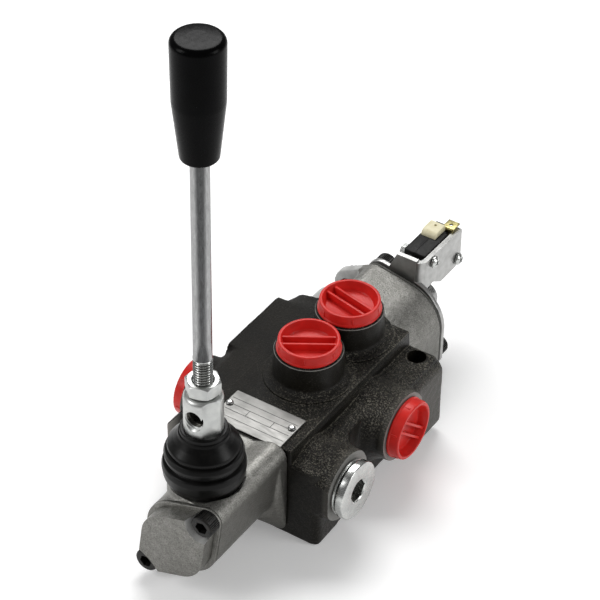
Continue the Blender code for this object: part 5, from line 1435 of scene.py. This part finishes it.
def make_terminals():
    """The cream hood over one terminal and the folded brass tab behind it."""
    lowest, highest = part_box("terminal_hood")
    shift = Vector((0, 1.6 * MM, 1.0 * MM))
    lowest, highest = lowest + shift, highest + shift
    highest.x += 0.3 * MM
    highest.z -= 0.4 * MM
    hood = slab("hood", rounded([
        (lowest.y, lowest.z, 0), (highest.y, lowest.z, 0.4 * MM), (highest.y, highest.z, 0.5 * MM),
        (lowest.y, highest.z, 3.0 * MM),
    ], 8), "X", lowest.x, highest.x, 0.35 * MM)
    hole = ((lowest.x + highest.x) / 2, highest.y - 2.6 * MM)
    cut(hood, *rods("hole", 0.7 * MM, "Z", [hole], lowest.z + SPARE, highest.z + SPARE))
    seat(hood, "cream_plastic", "terminal_hood")
    lowest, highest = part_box("terminal_tab")
    lowest.x += 1.2 * MM
    highest.x += 1.2 * MM
    thick = 0.8 * MM
    tab = slab("tab", rounded([
        (lowest.y, lowest.z, 0.15 * MM), (lowest.y + thick, lowest.z, 0.15 * MM),
        (lowest.y + thick, highest.z - thick, 0.2 * MM), (highest.y, highest.z - thick, 0.15 * MM),
        (highest.y, highest.z, 0.15 * MM), (lowest.y, highest.z, 0.9 * MM),
    ]), "X", lowest.x, highest.x, 0.12 * MM)
    hole = ((lowest.x + highest.x) / 2, (lowest.y + highest.y) / 2)
    cut(tab, *rods("hole", 0.9 * MM, "Z", [hole], highest.z - 2 * SPARE, highest.z + SPARE))
    seat(tab, "brass", "terminal_tab")


def make_actuator():
    """The sleeve on the spool's stud whose rounded nose works the switch."""
    lowest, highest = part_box("switch_actuator")
    collar_r = SLEEVE_R + 1.4 * MM
    collar_end = low("switch_plunger").y - 7.0 * MM
    stud_top = high("spool_stud").y + GAP
    bore_r = radius_of("spool_stud", "Y") + GAP
    nose = 1.0 * MM
    tip = highest.y + nose
    sleeve = lathe("sleeve", [
        (lowest.y, bore_r), (lowest.y, collar_r, 0.2 * MM), (collar_end, collar_r, 0.4 * MM),
        (collar_end, SLEEVE_R, 0.2 * MM), (tip - nose, SLEEVE_R, 0.6 * MM),
        (tip, SLEEVE_R - nose, 0.4 * MM), (tip, 0), (stud_top, 0), (stud_top, bore_r),
    ], (0, 0, SPOOL_Z), Y_AXIS)
    seat(sleeve, "zinc_plate", "switch_actuator", body="spool", finish=FINISHES["bare_steel"])


# ---- springs


def make_spring(node, along, turns, wire):
    """A coil of round wire along an axis, as long as its node."""
    lowest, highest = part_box(node)
    length = (highest - lowest).dot(along)
    start = middle(node) - along * length / 2
    radius = max((highest - lowest) - along * length) / 2 - wire
    turn = Z_AXIS.rotation_difference(along).to_matrix()
    steps = round(turns * 24)
    bm = bmesh.new()
    rings = []
    for step in range(steps + 1):
        angle = 2 * pi * turns * step / steps
        out = Vector((cos(angle), sin(angle), 0))
        centre = out * radius + Z_AXIS * (wire + (length - 2 * wire) * step / steps)
        section = [centre + (out * u + Z_AXIS * v) * wire for u, v in circle(0, 0, 1, 8)]
        rings.append([bm.verts.new(turn @ place + start) for place in section])
    stitch(bm, rings)
    coil = object_from(bm, node + "_coil")
    seat(coil, "bare_steel", node)
    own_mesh(coil)


def make_springs():
    make_spring("relief_spring", X_AXIS, 6, 0.7 * MM)
    make_spring("check_spring", X_AXIS, 4, 0.6 * MM)
    make_spring("centring_spring", Y_AXIS, 3.5, 1.0 * MM)


# ---- studio


def make_camera():
    """The camera, level but for a slight roll, looking down on the valve's right front corner."""
    azimuth, elevation, roll = radians(32.82), radians(39.26), radians(0.89)
    right = Vector((cos(azimuth), sin(azimuth), 0))
    up = Vector((-sin(azimuth) * sin(elevation), cos(azimuth) * sin(elevation), cos(elevation)))
    back = right.cross(up)
    rolled_right = right * cos(roll) + up * sin(roll)
    rolled_up = up * cos(roll) - right * sin(roll)
    camera = link("camera", bpy.data.cameras.new("camera"))
    camera.data.lens = 156
    camera.data.sensor_width = 36
    turn = Matrix((rolled_right, rolled_up, back)).transposed().to_4x4()
    camera.matrix_world = Matrix.Translation((0.44452, -0.69826, 0.76221)) @ turn
    bpy.context.scene.camera = camera


def make_floor():
    """A sheet of white paper that glows a little."""
    mesh = bpy.data.meshes.new("floor")
    mesh.from_pydata([(-4, -4, 0), (4, -4, 0), (4, 4, 0), (-4, 4, 0)], [], [(0, 1, 2, 3)])
    floor = link("floor", mesh)
    paint(floor, plain("floor_paper", (20, 3.0), (0.90, 0.90, 0.90), (0.92, 0.92, 0.92), (0.75, 0.85),
                       Emission_Color=(1, 1, 1, 1), Emission_Strength=0.24))


def softbox(name, place, size, power):
    """A rectangular soft light aimed at the valve."""
    lamp = bpy.data.lights.new(name, "AREA")
    lamp.shape = "RECTANGLE"
    lamp.size, lamp.size_y = size
    lamp.energy = power
    aim = Vector((0, 0, 0.06)) - Vector(place)
    turn = aim.to_track_quat("-Z", "Y").to_matrix().to_4x4()
    link(name, lamp).matrix_world = Matrix.Translation(place) @ turn


def make_lights():
    world = bpy.data.worlds.new("studio")
    world.use_nodes = True
    background = world.node_tree.nodes["Background"]
    background.inputs["Color"].default_value = (1, 1, 1, 1)
    background.inputs["Strength"].default_value = 0.20
    bpy.context.scene.world = world
    bpy.context.scene.view_settings.view_transform = "Standard"
    softbox("overhead", (-0.42, 0.60, 1.05), (0.75, 0.55), 11.0)
    softbox("left_front", (-0.85, -0.95, 0.95), (0.5, 0.9), 8.0)
    softbox("right", (1.25, 0.30, 0.65), (0.5, 0.8), 6.0)


def finish_nodes():
    """Give the CAD nodes that still show a finish of their own."""
    slots = {part["node"]: part["material_slot"] for part in frame["record"]["subparts"]}
    for name, node in frame["nodes"].items():
        paint(node, FINISHES[slots[name]])


finish_nodes()
make_body()
make_plate()
make_caps()
make_relief()
make_housing()
make_cover()
for screw_node, screw_changes in SCREWS.items():
    cap_screw(screw_node, *screw_changes)
make_boot()
make_holder()
make_nut()
make_rod()
make_knob()
make_drum()
make_gasket()
make_bracket()
make_switch()
make_terminals()
make_actuator()
make_springs()
make_camera()
make_floor()
make_lights()
